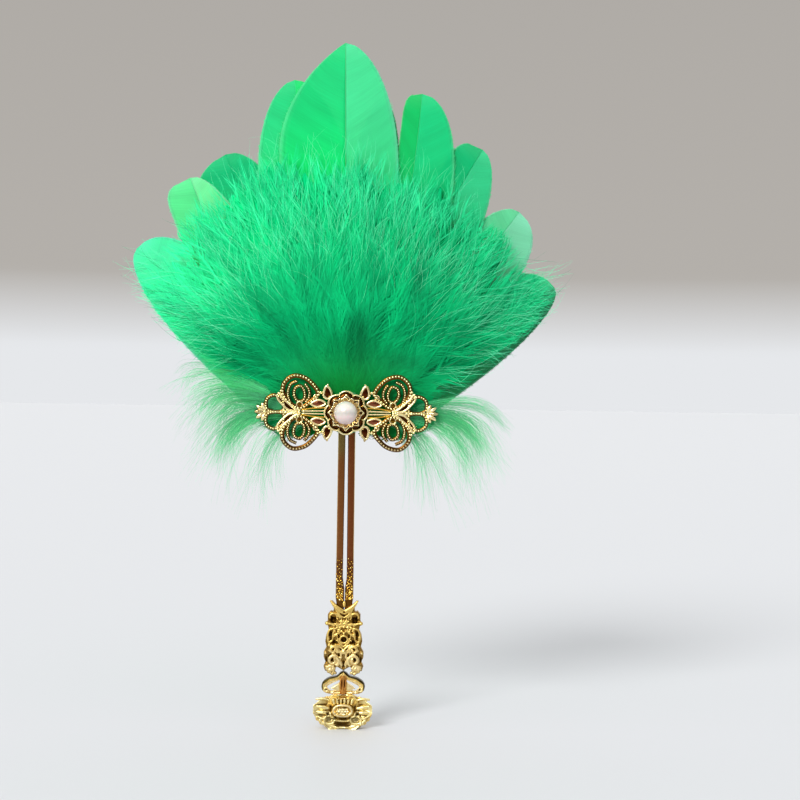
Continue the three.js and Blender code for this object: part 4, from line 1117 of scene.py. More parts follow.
def ellipse_line(x, z, wide, high, count=40, lean=0.0, narrow=0.0):
    """An ellipse, leaned to the right, and narrowed towards its top by a share of cos t."""
    t = around(count)
    across, up = wide * np.sin(t) * (1 - narrow * np.cos(t)), high * np.cos(t)
    cos, sin = math.cos(lean), math.sin(lean)
    return np.stack([x + across * cos + up * sin, z - across * sin + up * cos], -1)


def polar(reach, turn):
    """Points (x, z) at a reach from the pearl's axis."""
    return np.stack([reach * np.sin(turn), BROOCH_HEIGHT + reach * np.cos(turn)], -1)


# Lines of one quarter of the brooch: number of points, closed or not, and knots as shares of its
# half length and half height
LINES = {
    "wing": (72, True, ((0.31, 0.51), (0.375, 0.76), (0.46, 0.92), (0.585, 0.965), (0.68, 0.77), (0.69, 0.5),
                        (0.605, 0.21), (0.5, 0.12), (0.4, 0.27))),
    "drop": (36, True, ((0.47, 0.32), (0.455, 0.52), (0.5, 0.7), (0.56, 0.64), (0.57, 0.45), (0.53, 0.3))),
    "vein": (24, False, ((0.61, 0.23), (0.64, 0.5), (0.61, 0.74), (0.54, 0.83))),
    "stem": (24, False, ((0.445, 0.26), (0.405, 0.42), (0.41, 0.6), (0.455, 0.76))),
    "marquise": (32, True, ((0.225, 0.235), (0.295, 0.335), (0.385, 0.225), (0.315, 0.15))),
    "outer": (44, True, ((0.69, 0.04), (0.7, 0.34), (0.79, 0.45), (0.87, 0.33), (0.86, 0.06))),
    "leaf_outer": (24, False, ((0.5, 0.05), (0.56, 0.09), (0.625, 0.22), (0.69, 0.36), (0.73, 0.5))),
    "leaf_inner": (24, False, ((0.55, 0.02), (0.63, 0.06), (0.69, 0.18), (0.75, 0.36), (0.755, 0.47))),
    "low_bar": (12, False, ((0.19, 0.045), (0.49, 0.03))),
    "high_bar": (12, False, ((0.19, 0.13), (0.36, 0.11), (0.49, 0.06))),
    "drop_stem": (10, False, ((0.12, 0.3), (0.16, 0.38), (0.19, 0.44))),
    "spine": (30, False, ((0.55, 0.0), (0.66, 0.03), (0.74, 0.0), (0.9, 0.0))),
}
# Rings: middle as shares, half widths in millimetres, points, lean, narrowing
RINGS = {
    "ring": (0.51, 0.2, 1.35, 1.35, 24, 0.0, 0.0),
    "corner": (0.206, 0.535, 1.75, 2.85, 36, math.radians(8), 0.35),
    "small": (0.335, 0.42, 0.9, 0.8, 18, 0.0, 0.0),
}
# Dark strips, partly the brass's own darker edge and partly painted shade beside the wires: line, wire,
# its share, sides, flatness, how far behind the middle of the plate
STRIPS = (("wing", "wire", 2.5, 12, 0.4, 0.1), ("drop", "fine", 2.5, 8, 0.45, 0.15),
          ("vein", "fine", 2.4, 8, 0.45, 0.15), ("stem", "fine", 2.4, 8, 0.45, 0.15),
          ("outer", "fine", 2.8, 8, 0.45, 0.15))
# Rows of beads: line, shares of the bead and of the pitch, set off to the left, how far in front
BEADS = (("wing", 1.65, 1.4, 0.15, 0.3), ("drop", 1.3, 1.08, 0, 0.2), ("stem", 1.25, 1.06, 0, 0.2),
         ("vein", 1.25, 1.06, 0, 0.2), ("outer", 1.4, 1.2, 0, 0.3))
# Rows that run on to the line's first point
BEADS_MEET = ("wing", "drop")
# Round wires: line, wire, its share, how far in front, colour. The high bar is a darker gold than the
# low bar, as painted shade on the upper of the two.
WIRES = (("leaf_outer", "fine", 1.75, 0.15, "cream"), ("leaf_inner", "fine", 1.75, 0.15, "cream"),
         ("marquise", "fine", 1.55, 0.1, "cream"), ("ring", "fine", 1, 0, "cream"), ("small", "fine", 1, 0, "cream"),
         ("corner", "fine", 1.9, 0.1, "cream"), ("drop_stem", "wire", 1, 0, "pale"),
         ("spine", "fine", 1.1, 0.1, "cream"), ("low_bar", "fine", 1.1, 0, "cream"),
         ("high_bar", "fine", 1.1, 0, "mid"))
# Plates inside outlines: outline, depth, crown, colour. They are darker than the wires round them:
# the leaf's and the marquise's are painted shade in the hollow, the corner drop's is a painted dark
# reflection on its dome.
PLATES = (("leaf", 0.45, -0.1, "brown"), ("marquise", 0.45, 0.3, "rose"), ("ring", 0.3, 0.2, "deep"),
          ("corner", 0.4, 0.35, "wine"))
# Single beads: place as shares, radius
BIG_BEADS = np.array(((0.28, 0.53, 0.75), (0.705, 0.47, 0.62), (0.74, 0.5, 0.68), (0.715, 0.57, 0.62),
                      (0.205, 0.74, 0.55), (0.3, 0.47, 0.5), (0.255, 0.46, 0.5)))
MIDDLE_BEADS = np.array(((0.515, 0.0), (0.545, 0.0), (0.66, 0.0), (0.89, 0.0)))
# Petals of the palmette at each end: angle, length
PALMETTE = ((0.0, 5.2), (34.0, 5.2), (66.0, 4.5))
PALMETTE_START = 36.2
BROOCH_MIDDLE = BROOCH_BACK - 0.62
HUB_DISC = 8.6


def on_brooch(shares):
    return np.array(shares) * BROOCH_HALVES + (0, BROOCH_HEIGHT)


def brooch_quarter(gilt):
    """The parts of one quarter of the plate, each with its colour."""
    wires = {"wire": gilt.wire / MM, "fine": gilt.fine / MM}
    lines = {name: flow(np.array(knots) * BROOCH_HALVES, count, closed) + (0, BROOCH_HEIGHT)
             for name, (count, closed, knots) in LINES.items()}
    for name, (x, z, *form) in RINGS.items():
        lines[name] = ellipse_line(*on_brooch((x, z)), *form)
    lines["leaf"] = np.concatenate([lines["leaf_outer"], lines["leaf_inner"][::-1]])
    closed = {name for name, (_, meets, _) in LINES.items() if meets} | set(RINGS)
    pairs = []
    for name, wire, share, sides, flat, behind in STRIPS:
        strip = tubes(laid(lines[name], BROOCH_MIDDLE + behind), wires[wire] * share, sides, name in closed, flat)
        pairs.append((strip, GOLD["strip"]))
    for name, size, step, offset, ahead in BEADS:
        line = np.vstack([lines[name], lines[name][:1]]) if name in BEADS_MEET else lines[name]
        spots = laid(spaced(line, gilt.pitch / MM * step, offset), BROOCH_MIDDLE - ahead)
        pairs.append((blobs(spots, np.full(3, gilt.bead / MM * size), 4, 6), GOLD["cream"]))
    for name, wire, share, ahead, colour in WIRES:
        round_wire = tubes(laid(lines[name], BROOCH_MIDDLE - ahead), wires[wire] * share, 10, name in closed)
        pairs.append((round_wire, GOLD[colour]))
    for name, depth, crown, colour in PLATES:
        pairs.append((cushion(lines[name], BROOCH_BACK, depth, crown), GOLD[colour]))
    spots = laid(on_brooch(BIG_BEADS[:, :2]), BROOCH_MIDDLE - 0.2)
    pairs.append((blobs(spots, BIG_BEADS[:, 2:] * np.ones(3), 6, 10), GOLD["cream"]))
    t = np.linspace(0, 1, 12)
    swell = 0.22 + 0.72 * np.sin(math.pi * t ** 1.5) ** 0.8
    for degrees, far in PALMETTE:
        turn = math.radians(degrees)
        flat = np.stack([PALMETTE_START + math.cos(turn) * far * t,
                         BROOCH_HEIGHT + math.sin(turn) * far * t ** 1.15], -1)
        pairs.append((tubes(laid(flat, BROOCH_MIDDLE - 0.1 - 0.3 * t), swell, 10, flat=0.8), GOLD["cream"]))
        # a wider brown tube behind each petal: partly the brass's dark edge, partly painted shade round the petal
        pairs.append((tubes(laid(flat, BROOCH_MIDDLE + 0.3), swell + 0.25, 8, flat=0.5), GOLD["brown"]))
    return pairs


class FAN_OT_brooch(bpy.types.Operator):
    """The pierced plate of the brooch: loops of wire, rows of beads, leaves, drops and palmettes"""

    bl_idname = "fan.brooch"
    bl_label = "Brooch plate"

    def execute(self, context):
        pairs = []
        for part, colour in brooch_quarter(context.scene.fan_gilt):
            part = mirrored(part, QUARTERS, BROOCH_HEIGHT)
            # painted shade: low in the lower quarters the parts are mixed halfway to brown
            low = ease(-9.5, -13.0, part[0][:, 2] - BROOCH_HEIGHT)[:, None]
            pairs.append((part, mix(np.broadcast_to(colour, part[0].shape), GOLD["brown"], low * 0.5)))
        centre = blobs(laid(on_brooch(MIDDLE_BEADS), BROOCH_MIDDLE - 0.25), np.full(3, 0.72), 6, 10)
        pairs.append((mirrored(centre, HALVES), GOLD["cream"]))
        hub = ellipse_line(0, BROOCH_HEIGHT, HUB_DISC, HUB_DISC, 48)
        pairs.append((cushion(hub, BROOCH_BACK, 1.05, 0.0), GOLD["brown"]))
        dress(write_coloured("filigree_wirework", pairs), "brooch", "brooch_gold", "filigree_plate")
        return {"FINISHED"}


# The rosette's disc: radius, depth of its scallops. Its lines: radius, depth, wave, wire, its share.
# Its beads: number, distance from the middle, radius
ROSETTE_DISC = (9.0, 0.6)
ROSETTE_LINES = ((9.05, 0.6, "scallop", "wire", 1.1), (7.25, 0.9, "lobe", "fine", 1.05),
                 (6.1, 0.7, "between", "fine", 1.05))
ROSETTE_BEADS = (8, 7.9, 0.36)
CUP_FOOT, CUP_DIP, CUP_WALL = 3.3, 0.26, 0.32


class FAN_OT_rosette(bpy.types.Operator):
    """Scalloped disc with an interlaced star of wire, and the petalled cup in front of it"""

    bl_idname = "fan.rosette"
    bl_label = "Rosette and cup"

    def execute(self, context):
        gilt = context.scene.fan_gilt
        (_, front, _), (_, back, _) = node_box("rosette")
        y = (back + front) / 2 - 0.25
        t = around(240)
        # Waves at the angle t; two lobed lines, set off by half a lobe, make the star
        lobe = 1 - 2 * np.abs(np.sin(4 * t)) ** 0.7
        waves = {"scallop": 2 * np.abs(np.cos(4 * t)) ** 0.8 - 1, "lobe": lobe, "between": np.roll(lobe, 15)}
        reach, depth = ROSETTE_DISC
        # painted shade: the disc under the wires is brown, as the shade in the grooves between them
        pairs = [(cushion(polar(reach + depth * waves["scallop"], t), back, 0.45, 0.0), GOLD["brown"])]
        for reach, depth, wave, wire, share in ROSETTE_LINES:
            line = laid(polar(reach + depth * waves[wave], t), y)
            pairs.append((tubes(line, getattr(gilt, wire) / MM * share, 8, True), GOLD["cream"]))
        count, reach, radius = ROSETTE_BEADS
        pairs.append((blobs(laid(polar(reach, around(count, 0.5)), y), np.full(3, radius)), GOLD["pale"]))
        dress(write_coloured("rosette_wirework", pairs), "brooch", "brooch_gold", "rosette")

        (left, front, _), (right, back, _) = node_box("pearl_cup")
        # The cup at the share u of its height: it widens with u^0.75, and dips between the petals by u^2
        u = np.linspace(0, 1, 12)[:, None]
        petal = np.abs(np.cos(7 * t))[None] ** 0.6
        reach = mix(CUP_FOOT, (right - left) / 2, u ** 0.75) * (1 - CUP_DIP * u ** 2 * (1 - petal))
        outer_y = mix(back, front, u ** 1.6) + 0.25 * u * (1 - petal)
        inner_y = outer_y - CUP_WALL * (1 - u * 0.6)
        outer, inner = laid(polar(reach, t), outer_y), laid(polar(reach - 0.3 * (1 - u), t), inner_y)
        # painted light: the cup is paler towards its rim and most on its petals, against the shade round the pearl
        tone = mix(GOLD["pale"], GOLD["petal"], (ease(0.1, 0.6, u) * mix(0.5, 1, petal))[..., None])
        shade = np.concatenate([tone, tone[::-1]]).reshape(-1, 3)
        cup = write_piece("cup_petals", skin(np.concatenate([outer, inner[::-1]])), shade)
        dress(cup, "brooch", "brooch_gold", "pearl_cup")
        return {"FINISHED"}


FELT_HAIRS = 700
FELT_HOLES = {"back_felt": 0.05, "front_felt": 3.3}


def felt_disc(rng, name, hole):
    """A ring of felt with a ragged edge and loose hairs on it.

    Its section goes round by the cosine to 0.12 outwards and the sine to 0.5 along Y, each with its sign."""
    low, high = node_box(name)
    radius, thick, middle = (high[0] - low[0]) / 2, high[1] - low[1], (low[1] + high[1]) / 2
    turn, t = around(96), around(28)[:, None]
    across = hole + (radius - hole) / 2 * (1 + power(np.cos(t), 0.12))
    reach = across * (1 + 0.006 * np.sin(turn * 23 + 1) * np.sin(turn * 9))
    disc = skin(laid(polar(reach, turn), middle + thick / 2 * power(np.sin(t), 0.5)), closed=True)
    turn = rng.uniform(0, TURN, FELT_HAIRS)
    out = rng.uniform(0.35, 1, FELT_HAIRS) ** 0.6 * radius
    side = rng.choice([-1.0, 1.0], FELT_HAIRS)
    lean = rng.normal(0, 0.5, (FELT_HAIRS, 2))
    root = laid(polar(out, turn), middle + side * thick * 0.45)
    sideways = laid(np.stack([np.sin(turn), np.cos(turn)], -1), side * 0.2)
    way = np.where((out > 0.97 * radius)[:, None], sideways, laid(lean, side * 0.35))
    t = np.linspace(0, 1, 4)[None, :, None]
    hairs = root[:, None] + way[:, None] * t * 0.7 + np.array([0, 0, -0.15]) * t ** 2
    dress(write_piece(name + "_disc", joined([disc, tubes(hairs, 0.035)])), "felt", "felt", name)


class FAN_OT_pearl(bpy.types.Operator):
    """The pearl, and the two felt discs behind the brooch"""

    bl_idname = "fan.pearl"
    bl_label = "Pearl and felts"

    def execute(self, context):
        radius = (PEARL_HIGH[0] - PEARL_LOW[0]) / 2
        ball = blobs((PEARL_LOW + PEARL_HIGH) / 2, np.full(3, radius), rings=44, sides=64)
        dress(write_piece("pearl_ball", ball), "pearl", "pearl", "pearl")
        rng = np.random.default_rng(500)
        for name, hole in FELT_HOLES.items():
            felt_disc(rng, name, hole)
        return {"FINISHED"}


TAIL_TOP = TAIL_HIGH[2]
SPOTS = 46
SPOT_SIZES = np.array((1.0, 0.85, 1.15))


def prong(rng, side, name):
    """One prong: a bar skinned along its height, with spots and hooks in relief above the tail.

    Its section goes round by the cosine to 0.46 across and the sine to 0.5 along Y, each with its sign."""
    joint, split = TAIL_TOP + 5.4, TAIL_TOP + 10.4
    z = np.unique(np.concatenate([
        np.linspace(PRONG_FOOT, split, 40), np.linspace(split, PRONG_TOP - 0.4, 60),
        PRONG_TOP - 0.4 * np.cos(np.linspace(0, math.pi / 2, 5)),
    ]))
    gap = np.interp(z, (PRONG_FOOT, joint, split, PRONG_TOP), (0.3, 0.3, 1.7, 1.0))
    outer = np.interp(z, (PRONG_FOOT, TAIL_TOP - 1, TAIL_TOP + 1, PRONG_TOP), (3.7, 3.7, 4.1, 3.95))
    middle, half = (outer + gap / 2) / 2, (outer - gap / 2) / 2
    end = np.sqrt(1 - ((z - (PRONG_TOP - 0.5)) / 0.5).clip(0, 0.95) ** 2)
    t = around(36)
    across = power(np.cos(t), 0.46)
    x = middle[:, None] + (half * end)[:, None] * across
    y = PRONG_DEPTH / 2 * end[:, None] * power(np.sin(t), 0.5)
    bar = skin(np.stack([side * x, y, np.repeat(z[:, None], len(t), 1)], -1))

    # Painted light on the bar: cream down one edge as a painted highlight and dark down the other as painted shade;
    # brown on the ground round the relief and deep near the tail as painted shade; the brown of each prong and the
    # olive at the top of the left one are painted reflections.
    edge = ease(0.8, 0.93, np.abs(across))[None]
    rim = edge * (across > 0)
    relief, low, high = (ease(a, b, z)[:, None] for a, b in (
        (TAIL_TOP + 20.5, TAIL_TOP + 17), (TAIL_TOP + 12, TAIL_TOP + 3), (121, 130)))
    tone = GOLD[name]
    for colour, share in (("cream", rim * mix(0.75, 0.35, relief)), ("pit", (edge - rim) * 0.6 * (1 - relief)),
                          ("deep", low * (1 - edge) * 0.6), ("brown", relief * (1 - edge) * 0.55),
                          ("olive", high * (1 - edge) * (0.8 if side < 0 else 0))):
        tone = mix(tone, GOLD[colour], share[..., None])

    front = -PRONG_DEPTH / 2
    rows = TAIL_TOP + 0.4 + 18.8 * ((np.arange(SPOTS) + 0.5) / SPOTS) ** 1.4
    ways = np.array([-0.62, 0.05, 0.66])[np.arange(SPOTS) % 3] + rng.normal(0, 0.14, SPOTS)
    spots = np.stack([np.interp(rows, z, middle) + ways * 1.7, rows + rng.normal(0, 0.25, SPOTS)], -1)
    sizes = (mix(0.5, 0.26, np.linspace(0, 1, SPOTS)) * rng.uniform(0.75, 1.2, SPOTS))[:, None] * SPOT_SIZES
    bend = np.linspace(-1.7, 1.7, 9)
    hook = np.stack([0.8 * np.sin(bend), 0.6 * np.cos(bend) - 0.2], -1)
    places = np.stack([np.interp(rows[2:34:4], z, middle), rows[2:34:4]], -1)
    hooks = places[:, None] + hook * rng.choice([-1.0, 1.0], (len(places), 1, 2))
    pairs = [(blobs(laid(spots[some], front + sunk), sizes[some]), GOLD[colour]) for some, sunk, colour in (
        (slice(0, None, 2), 0.02, "mid"), (slice(1, None, 4), 0, "pale"), (slice(3, None, 4), 0, "spot"))]
    pairs.append((tubes(laid(hooks, front - 0.04), 0.19, 6), GOLD["mid"]))
    pairs = [(mirrored(part, ((side, 1),)), colour) for part, colour in pairs]
    dress(write_coloured(name + "_bar", [(bar, tone.reshape(-1, 3)), *pairs]), "bar", "handle_gold", name)


class FAN_OT_prongs(bpy.types.Operator):
    """The two flat prongs: rounded bars with rows of small flowers in relief above the tail"""

    bl_idname = "fan.prongs"
    bl_label = "Prongs"

    def execute(self, context):
        rng = np.random.default_rng(600)
        prong(rng, -1, "prong_left")
        prong(rng, 1, "prong_right")
        return {"FINISHED"}


# Castings

def node_part(name):
    """A node's mesh in millimetres, with its doubled points merged."""
    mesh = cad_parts[name].data
    points = read(mesh.vertices, "co")
    mesh.calc_loop_triangles()
    faces = np.empty(len(mesh.loop_triangles) * 3, dtype=np.int32)
    mesh.loop_triangles.foreach_get("vertices", faces)
    merged, index = np.unique(np.round(points / MM, 4), axis=0, return_inverse=True)
    faces = index.ravel()[faces].reshape(-1, 3)
    return merged, [faces[(faces != np.roll(faces, 1, 1)).all(1)]]


def read(items, key):
    """A vector of each item of a mesh."""
    values = np.empty(len(items) * 3)
    items.foreach_get(key, values)
    return values.reshape(-1, 3)


def cast_piece(name, node_name, halves, whole, voxel, softness, pits, shade_of):
    """A casting: the solid and its ornaments run together by a voxel remesh and softened a little.

    Ornaments of halves get a copy mirrored about X = 0, and those of whole don't.
    Each pit (x, z, half width, half height, depth) is pressed into the front by
    depth * exp(-(dx / half width)^4 - (dz / half height)^4) and painted dark as shade."""
    parts = [node_part(node_name), *(mirrored(half, HALVES) for half in halves), *whole]
    rough = write_piece(name + "_rough", joined(parts))
    remesh = rough.modifiers.new("run together", "REMESH")
    remesh.mode, remesh.voxel_size = "VOXEL", voxel
    smooth = rough.modifiers.new("soften", "SMOOTH")
    smooth.factor, smooth.iterations = 0.5, softness
    bpy.context.view_layer.update()
    cast = bpy.data.meshes.new_from_object(rough.evaluated_get(bpy.context.evaluated_depsgraph_get()))
    bpy.data.meshes.remove(rough.data)
    points = read(cast.vertices, "co") / MM
    facing = ease(0.0, 0.5, -read(cast.vertices, "normal")[:, 1])
    dark = np.zeros(len(points))
    x, z = np.abs(points[:, 0]), points[:, 2]
    for middle_x, middle_z, wide, high, depth in pits:
        form = np.exp(-((x - middle_x) / wide) ** 4 - ((z - middle_z) / high) ** 4) * facing
        points[:, 1] += depth * form
        dark = np.maximum(dark, form)
    # painted shade in the pits, mixed most of the way to near black
    paint(cast, mix(shade_of(points, facing), GOLD["pit"], (dark * 0.7)[:, None]))
    cast.vertices.foreach_set("co", (points * MM).astype(np.float32).ravel())
    cast.polygons.foreach_set("use_smooth", np.ones(len(cast.polygons), dtype=bool))
    cast.update()
    dress(place(name, cast), "cast", "handle_gold", node_name)


# Ornaments: each takes its form, its size and its depth

def rod(points, radius, y, count=24, closed=False):
    """A round rod along a smooth line through points (x, z), with its radius spread over its length."""
    radii = np.interp(np.linspace(0, 1, count), np.linspace(0, 1, np.size(radius)), np.atleast_1d(radius))
    return tubes(laid(flow(points, count, closed), y), radii, 10, closed)


def scroll(form, radius, y):
    """A rod wound in: its distance from the middle falls from reach to a fifth of it as it turns."""
    x, z, reach, turns, start = form
    t = np.linspace(0, 1, 48)
    angle = start + t * turns * TURN
    out = reach * (1 - 0.8 * t ** 0.8)
    line = np.stack([x + out * np.sin(angle), z + out * np.cos(angle)], -1)
    return tubes(laid(line, y - 0.5 * t), radius * mix(1, 0.75, t), 10)


def knobs(places, size, y):
    return blobs(laid(np.array(places, float), y), np.full(3, size), rings=7, sides=12)


def swelling(spot, sizes, y):
    """One ellipsoid with half widths of its own."""
    return blobs(laid(np.array(spot, float), y), sizes, rings=9, sides=16)


def ornaments(rows, front=0.0):
    """Ornaments from rows of: kind, form, size, how far behind the front, and what else its kind takes."""
    return [kind(form, size, front + behind, *more) for kind, form, size, behind, *more in rows]


TAIL_FRONT = TAIL_LOW[1] + 0.45
TAIL_HALVES = (
    (rod, ((0.3, 53.6), (2.2, 54.7), (4.4, 56.3), (6.4, 58.7)), (0.9, 1.05, 0.95, 0.35), 0),
    (rod, ((0, 52.4), (1.6, 53.2), (3.4, 54.6)), (0.32, 0.3), -0.25),
    (rod, ((0, 50.8), (1.5, 51.7), (3.0, 53.4)), (0.32, 0.3), -0.25),
    (rod, [(4.9 + 1.65 * math.sin(a), 51.0 + 1.65 * math.cos(a)) for a in np.linspace(-2, 2, 9)], (0.35, 0.5, 0.35), 0),
    (rod, ((1.6, 47.6), (4.6, 47.9), (7.3, 48.0)), (0.5, 0.5, 0.6), 0),
    (knobs, ((7.8, 48.1),), 0.95, 0.3),
    (knobs, ((1.7, 46.2), (3.4, 46.0), (0.9, 44.5), (2.6, 44.3)), 0.55, -0.15),
    (knobs, ((0.8, 49.0), (2.2, 49.0), (1.5, 50.0), (3.0, 50.1), (2.9, 45.2), (4.6, 46.8), (3.2, 47.0), (1.9, 45.3),
             (3.9, 44.6), (3.3, 42.9), (2.7, 41.3), (3.4, 40.2)), 0.34, -0.3),
    (rod, ((4.3, 45.6), (6.4, 45.2), (7.4, 42.4), (6.6, 39.4), (5.3, 40.6), (5.0, 43.2)), 0.5, 0, 40, True),
    (rod, ((0, 37.5), (2.3, 39.6), (3.2, 43.4)), (0.4, 0.45, 0.3), -0.15),
    (rod, ((0, 36.0), (2.9, 38.2), (4.6, 38.2)), (0.45, 0.4, 0.3), -0.1),
    (scroll, (4.7, 35.9, 2.2, 1.2, -2.2), 0.75, -0.1),
    (scroll, (4.8, 31.2, 3.0, 1.35, -2.6), 0.85, -0.1),
    (rod, ((1.0, 34.0), (1.5, 31.0), (0.9, 27.6)), (0.35, 0.4, 0.3), 0),
    (rod, ((3.6, 27.7), (6.0, 26.9), (8.0, 27.4)), (0.7, 0.8, 0.6), 0.2),
    (knobs, ((4.6, 28.2), (5.7, 27.6), (8.2, 34.4)), 0.6, 0),
    (knobs, ((4.4, 26.2), (5.9, 25.6), (5.0, 24.9), (3.7, 25.3), (6.9, 26.0)), 0.78, 0.5),
)
# Single knobs on the axis: height, how far in front, half widths
TAIL_KNOBS = ((57.0, 0, (0.8, 0.7, 1.6)), (35.2, 0.2, (1.1, 0.8, 1.3)), (49.2, 0.1, (0.5, 0.5, 0.5)),
              (47.9, 0.1, (0.5, 0.5, 0.5)))
# Plugs that darken the openings with painted shade: place, half widths
TAIL_PLUGS = np.array(((0, 41.1, 1.5, 1.6), (4.1, 39.2, 1.1, 1.1), (4.55, 36.2, 1.5, 1.0), (5.46, 32.7, 1.8, 1.5),
                       (1.55, 35.9, 0.9, 1.0), (5.8, 50.2, 0.8, 1.1), (2.0, 30.4, 0.9, 1.0)))
PLUG_DEPTH, PLUG_HALF, PLUG_MORE = -0.5, 0.9, 0.4
TAIL_PITS = (
    (4.9, 49.6, 1.0, 1.2, 1.2), (6.0, 42.4, 0.55, 1.7, 0.9), (0, 40.8, 0.85, 0.85, 0.8), (4.2, 39.6, 0.55, 0.75, 0.9),
    (1.7, 50.1, 0.35, 0.6, 0.5), (7.9, 31.4, 0.4, 1.5, 0.5), (2.0, 33.7, 0.35, 0.8, 0.5), (0, 29.4, 0.4, 1.6, 0.5),
    (2.5, 42.2, 0.4, 0.9, 0.4), (0, 51.9, 0.45, 0.4, 0.4), (4.9, 35.8, 0.5, 0.6, 0.4), (4.9, 31.0, 0.7, 0.8, 0.4),
)


def tail_tone(points, facing):
    # Painted light: the raised relief lighter as a highlight, the ground darker as painted shade; low down the raised
    # parts take cream as a painted highlight; faces turned from the front take mid gold.
    relief = ease(1.9, 2.9, -points[:, 1])[:, None]
    shade = mix(GOLD["tail_low"], GOLD["tail_high"], relief)
    low = ease(38.5, 33.0, points[:, 2])[:, None] * relief
    return mix(mix(shade, GOLD["cream"], low * 0.7), GOLD["mid"], ((1 - facing) * 0.5)[:, None])


class FAN_OT_tail(bpy.types.Operator):
    """The scrolled tail casting: horns, collar, side loops, a diamond with a ring, and four scrolls"""

    bl_idname = "fan.tail"
    bl_label = "Tail"

    def execute(self, context):
        places = [(0, TAIL_FRONT - ahead, z) for z, ahead, _ in TAIL_KNOBS]
        plugs = blobs(laid(TAIL_PLUGS[:, :2], PLUG_DEPTH), laid(TAIL_PLUGS[:, 2:] + PLUG_MORE, PLUG_HALF), 9, 14)
        whole = [
            rod(ellipse_line(0, 40.8, 1.75, 1.6, 16), 0.45, TAIL_FRONT - 0.2, 32, True),
            blobs(places, [size for _, _, size in TAIL_KNOBS], 7, 12),
            knobs([(0, 46.4), (0, 43.6)], 0.6, TAIL_FRONT - 0.2),
            mirrored(plugs, HALVES),
        ]
        cast_piece("tail_scrollwork", "tail_casting", ornaments(TAIL_HALVES, TAIL_FRONT), whole,
                   context.scene.fan_gilt.voxel, 2, TAIL_PITS, tail_tone)
        return {"FINISHED"}


ARCH_FRONT = node_box("cloud_arch")[0][1]
ARCH_BAND = np.array([(0, 25.3), (2.5, 23.3), (6.1, 22.3), (8.9, 20.3), (8.8, 17.7), (6.3, 16.6)])
ARCH_HALVES = (
    (rod, ARCH_BAND[1:], (0.7, 0.85, 0.85, 0.7, 0.6), 0.4, 40),
    (rod, ((0.1, 25.1), (1.0, 24.4), (2.5, 23.3)), (0.5, 0.7), 0.4),
    (rod, ((1.6, 22.6), (5.4, 21.3), (7.9, 19.5), (7.7, 17.6)), (0.5, 0.85, 0.8, 0.6), 0.8, 30),
    (rod, ((0.3, 16.0), (4.0, 16.0), (7.4, 16.3)), (0.45, 0.5, 0.4), 0.6, 20),
    (scroll, (7.6, 17.9, 1.4, 1.0, 1.2), 0.5, 0.2),
    (rod, ((0.2, 24.0), (1.25, 20.6), (0.9, 18.2), (0.15, 16.0)), (0.3, 0.42, 0.4, 0.2), 0.1),
    (rod, ((1.5, 18.4), (3.6, 18.9), (5.6, 18.2)), (0.3, 0.45, 0.3), 0.3),
    (rod, ((1.2, 17.2), (3.2, 17.4), (4.8, 16.8)), (0.3, 0.4, 0.3), 0.3),
)
ARCH_PITS = ((0.62, 20.6, 0.28, 2.2, 0.35), (7.6, 17.9, 0.5, 0.5, 0.5))


def arch_tone(points, facing):
    x, z = np.abs(points[:, 0]), points[:, 2]
    rim = np.interp(x, ARCH_BAND[:4, 0], ARCH_BAND[:4, 1])
    above = ease(-0.15, 0.35, z - rim) + ease(8.9, 9.5, x)
    inside = ease(9.0, 8.0, x) * ease(rim - 0.3, rim - 1.2, z) * ease(1.6, 2.4, x)
    leaf = ease(1.9, 1.3, x) * ease(24.6, 23.8, z)
    shade = mix(GOLD["pale"], GOLD["cream"], inside[:, None])
    shade = mix(shade, GOLD["leaf"], (leaf * 0.85)[:, None])
    return mix(shade, GOLD["shadow"], np.clip(above, 0, 1)[:, None])


class FAN_OT_arch(bpy.types.Operator):
    """The pointed cloud band with curled ends, and the leaf that hangs in it"""

    bl_idname = "fan.arch"
    bl_label = "Cloud arch"

    def execute(self, context):
        vein = rod([(0, 24.4), (0, 20.5), (0, 16.3)], (0.2, 0.3, 0.2), ARCH_FRONT - 0.05)
        cast_piece("arch_scrollwork", "cloud_arch", ornaments(ARCH_HALVES, ARCH_FRONT), [vein],
                   context.scene.fan_gilt.voxel, 2, ARCH_PITS, arch_tone)
        return {"FINISHED"}


def oval(node):
    """Half width, middle height and half height of a node."""
    low, high = node_box(node)
    return high[0], (high[2] + low[2]) / 2, (high[2] - low[2]) / 2


RIM_WIDE, RIM_Z, RIM_TALL = oval("peony_backing")
HEART_WIDE, HEART_Z, HEART_TALL = oval("peony_heart")
HEART_FRONT = node_box("peony_heart")[0][1]


def by_heart(*points):
    """Points given from the heart's middle."""
    return [(x, HEART_Z + z) for x, z in points]


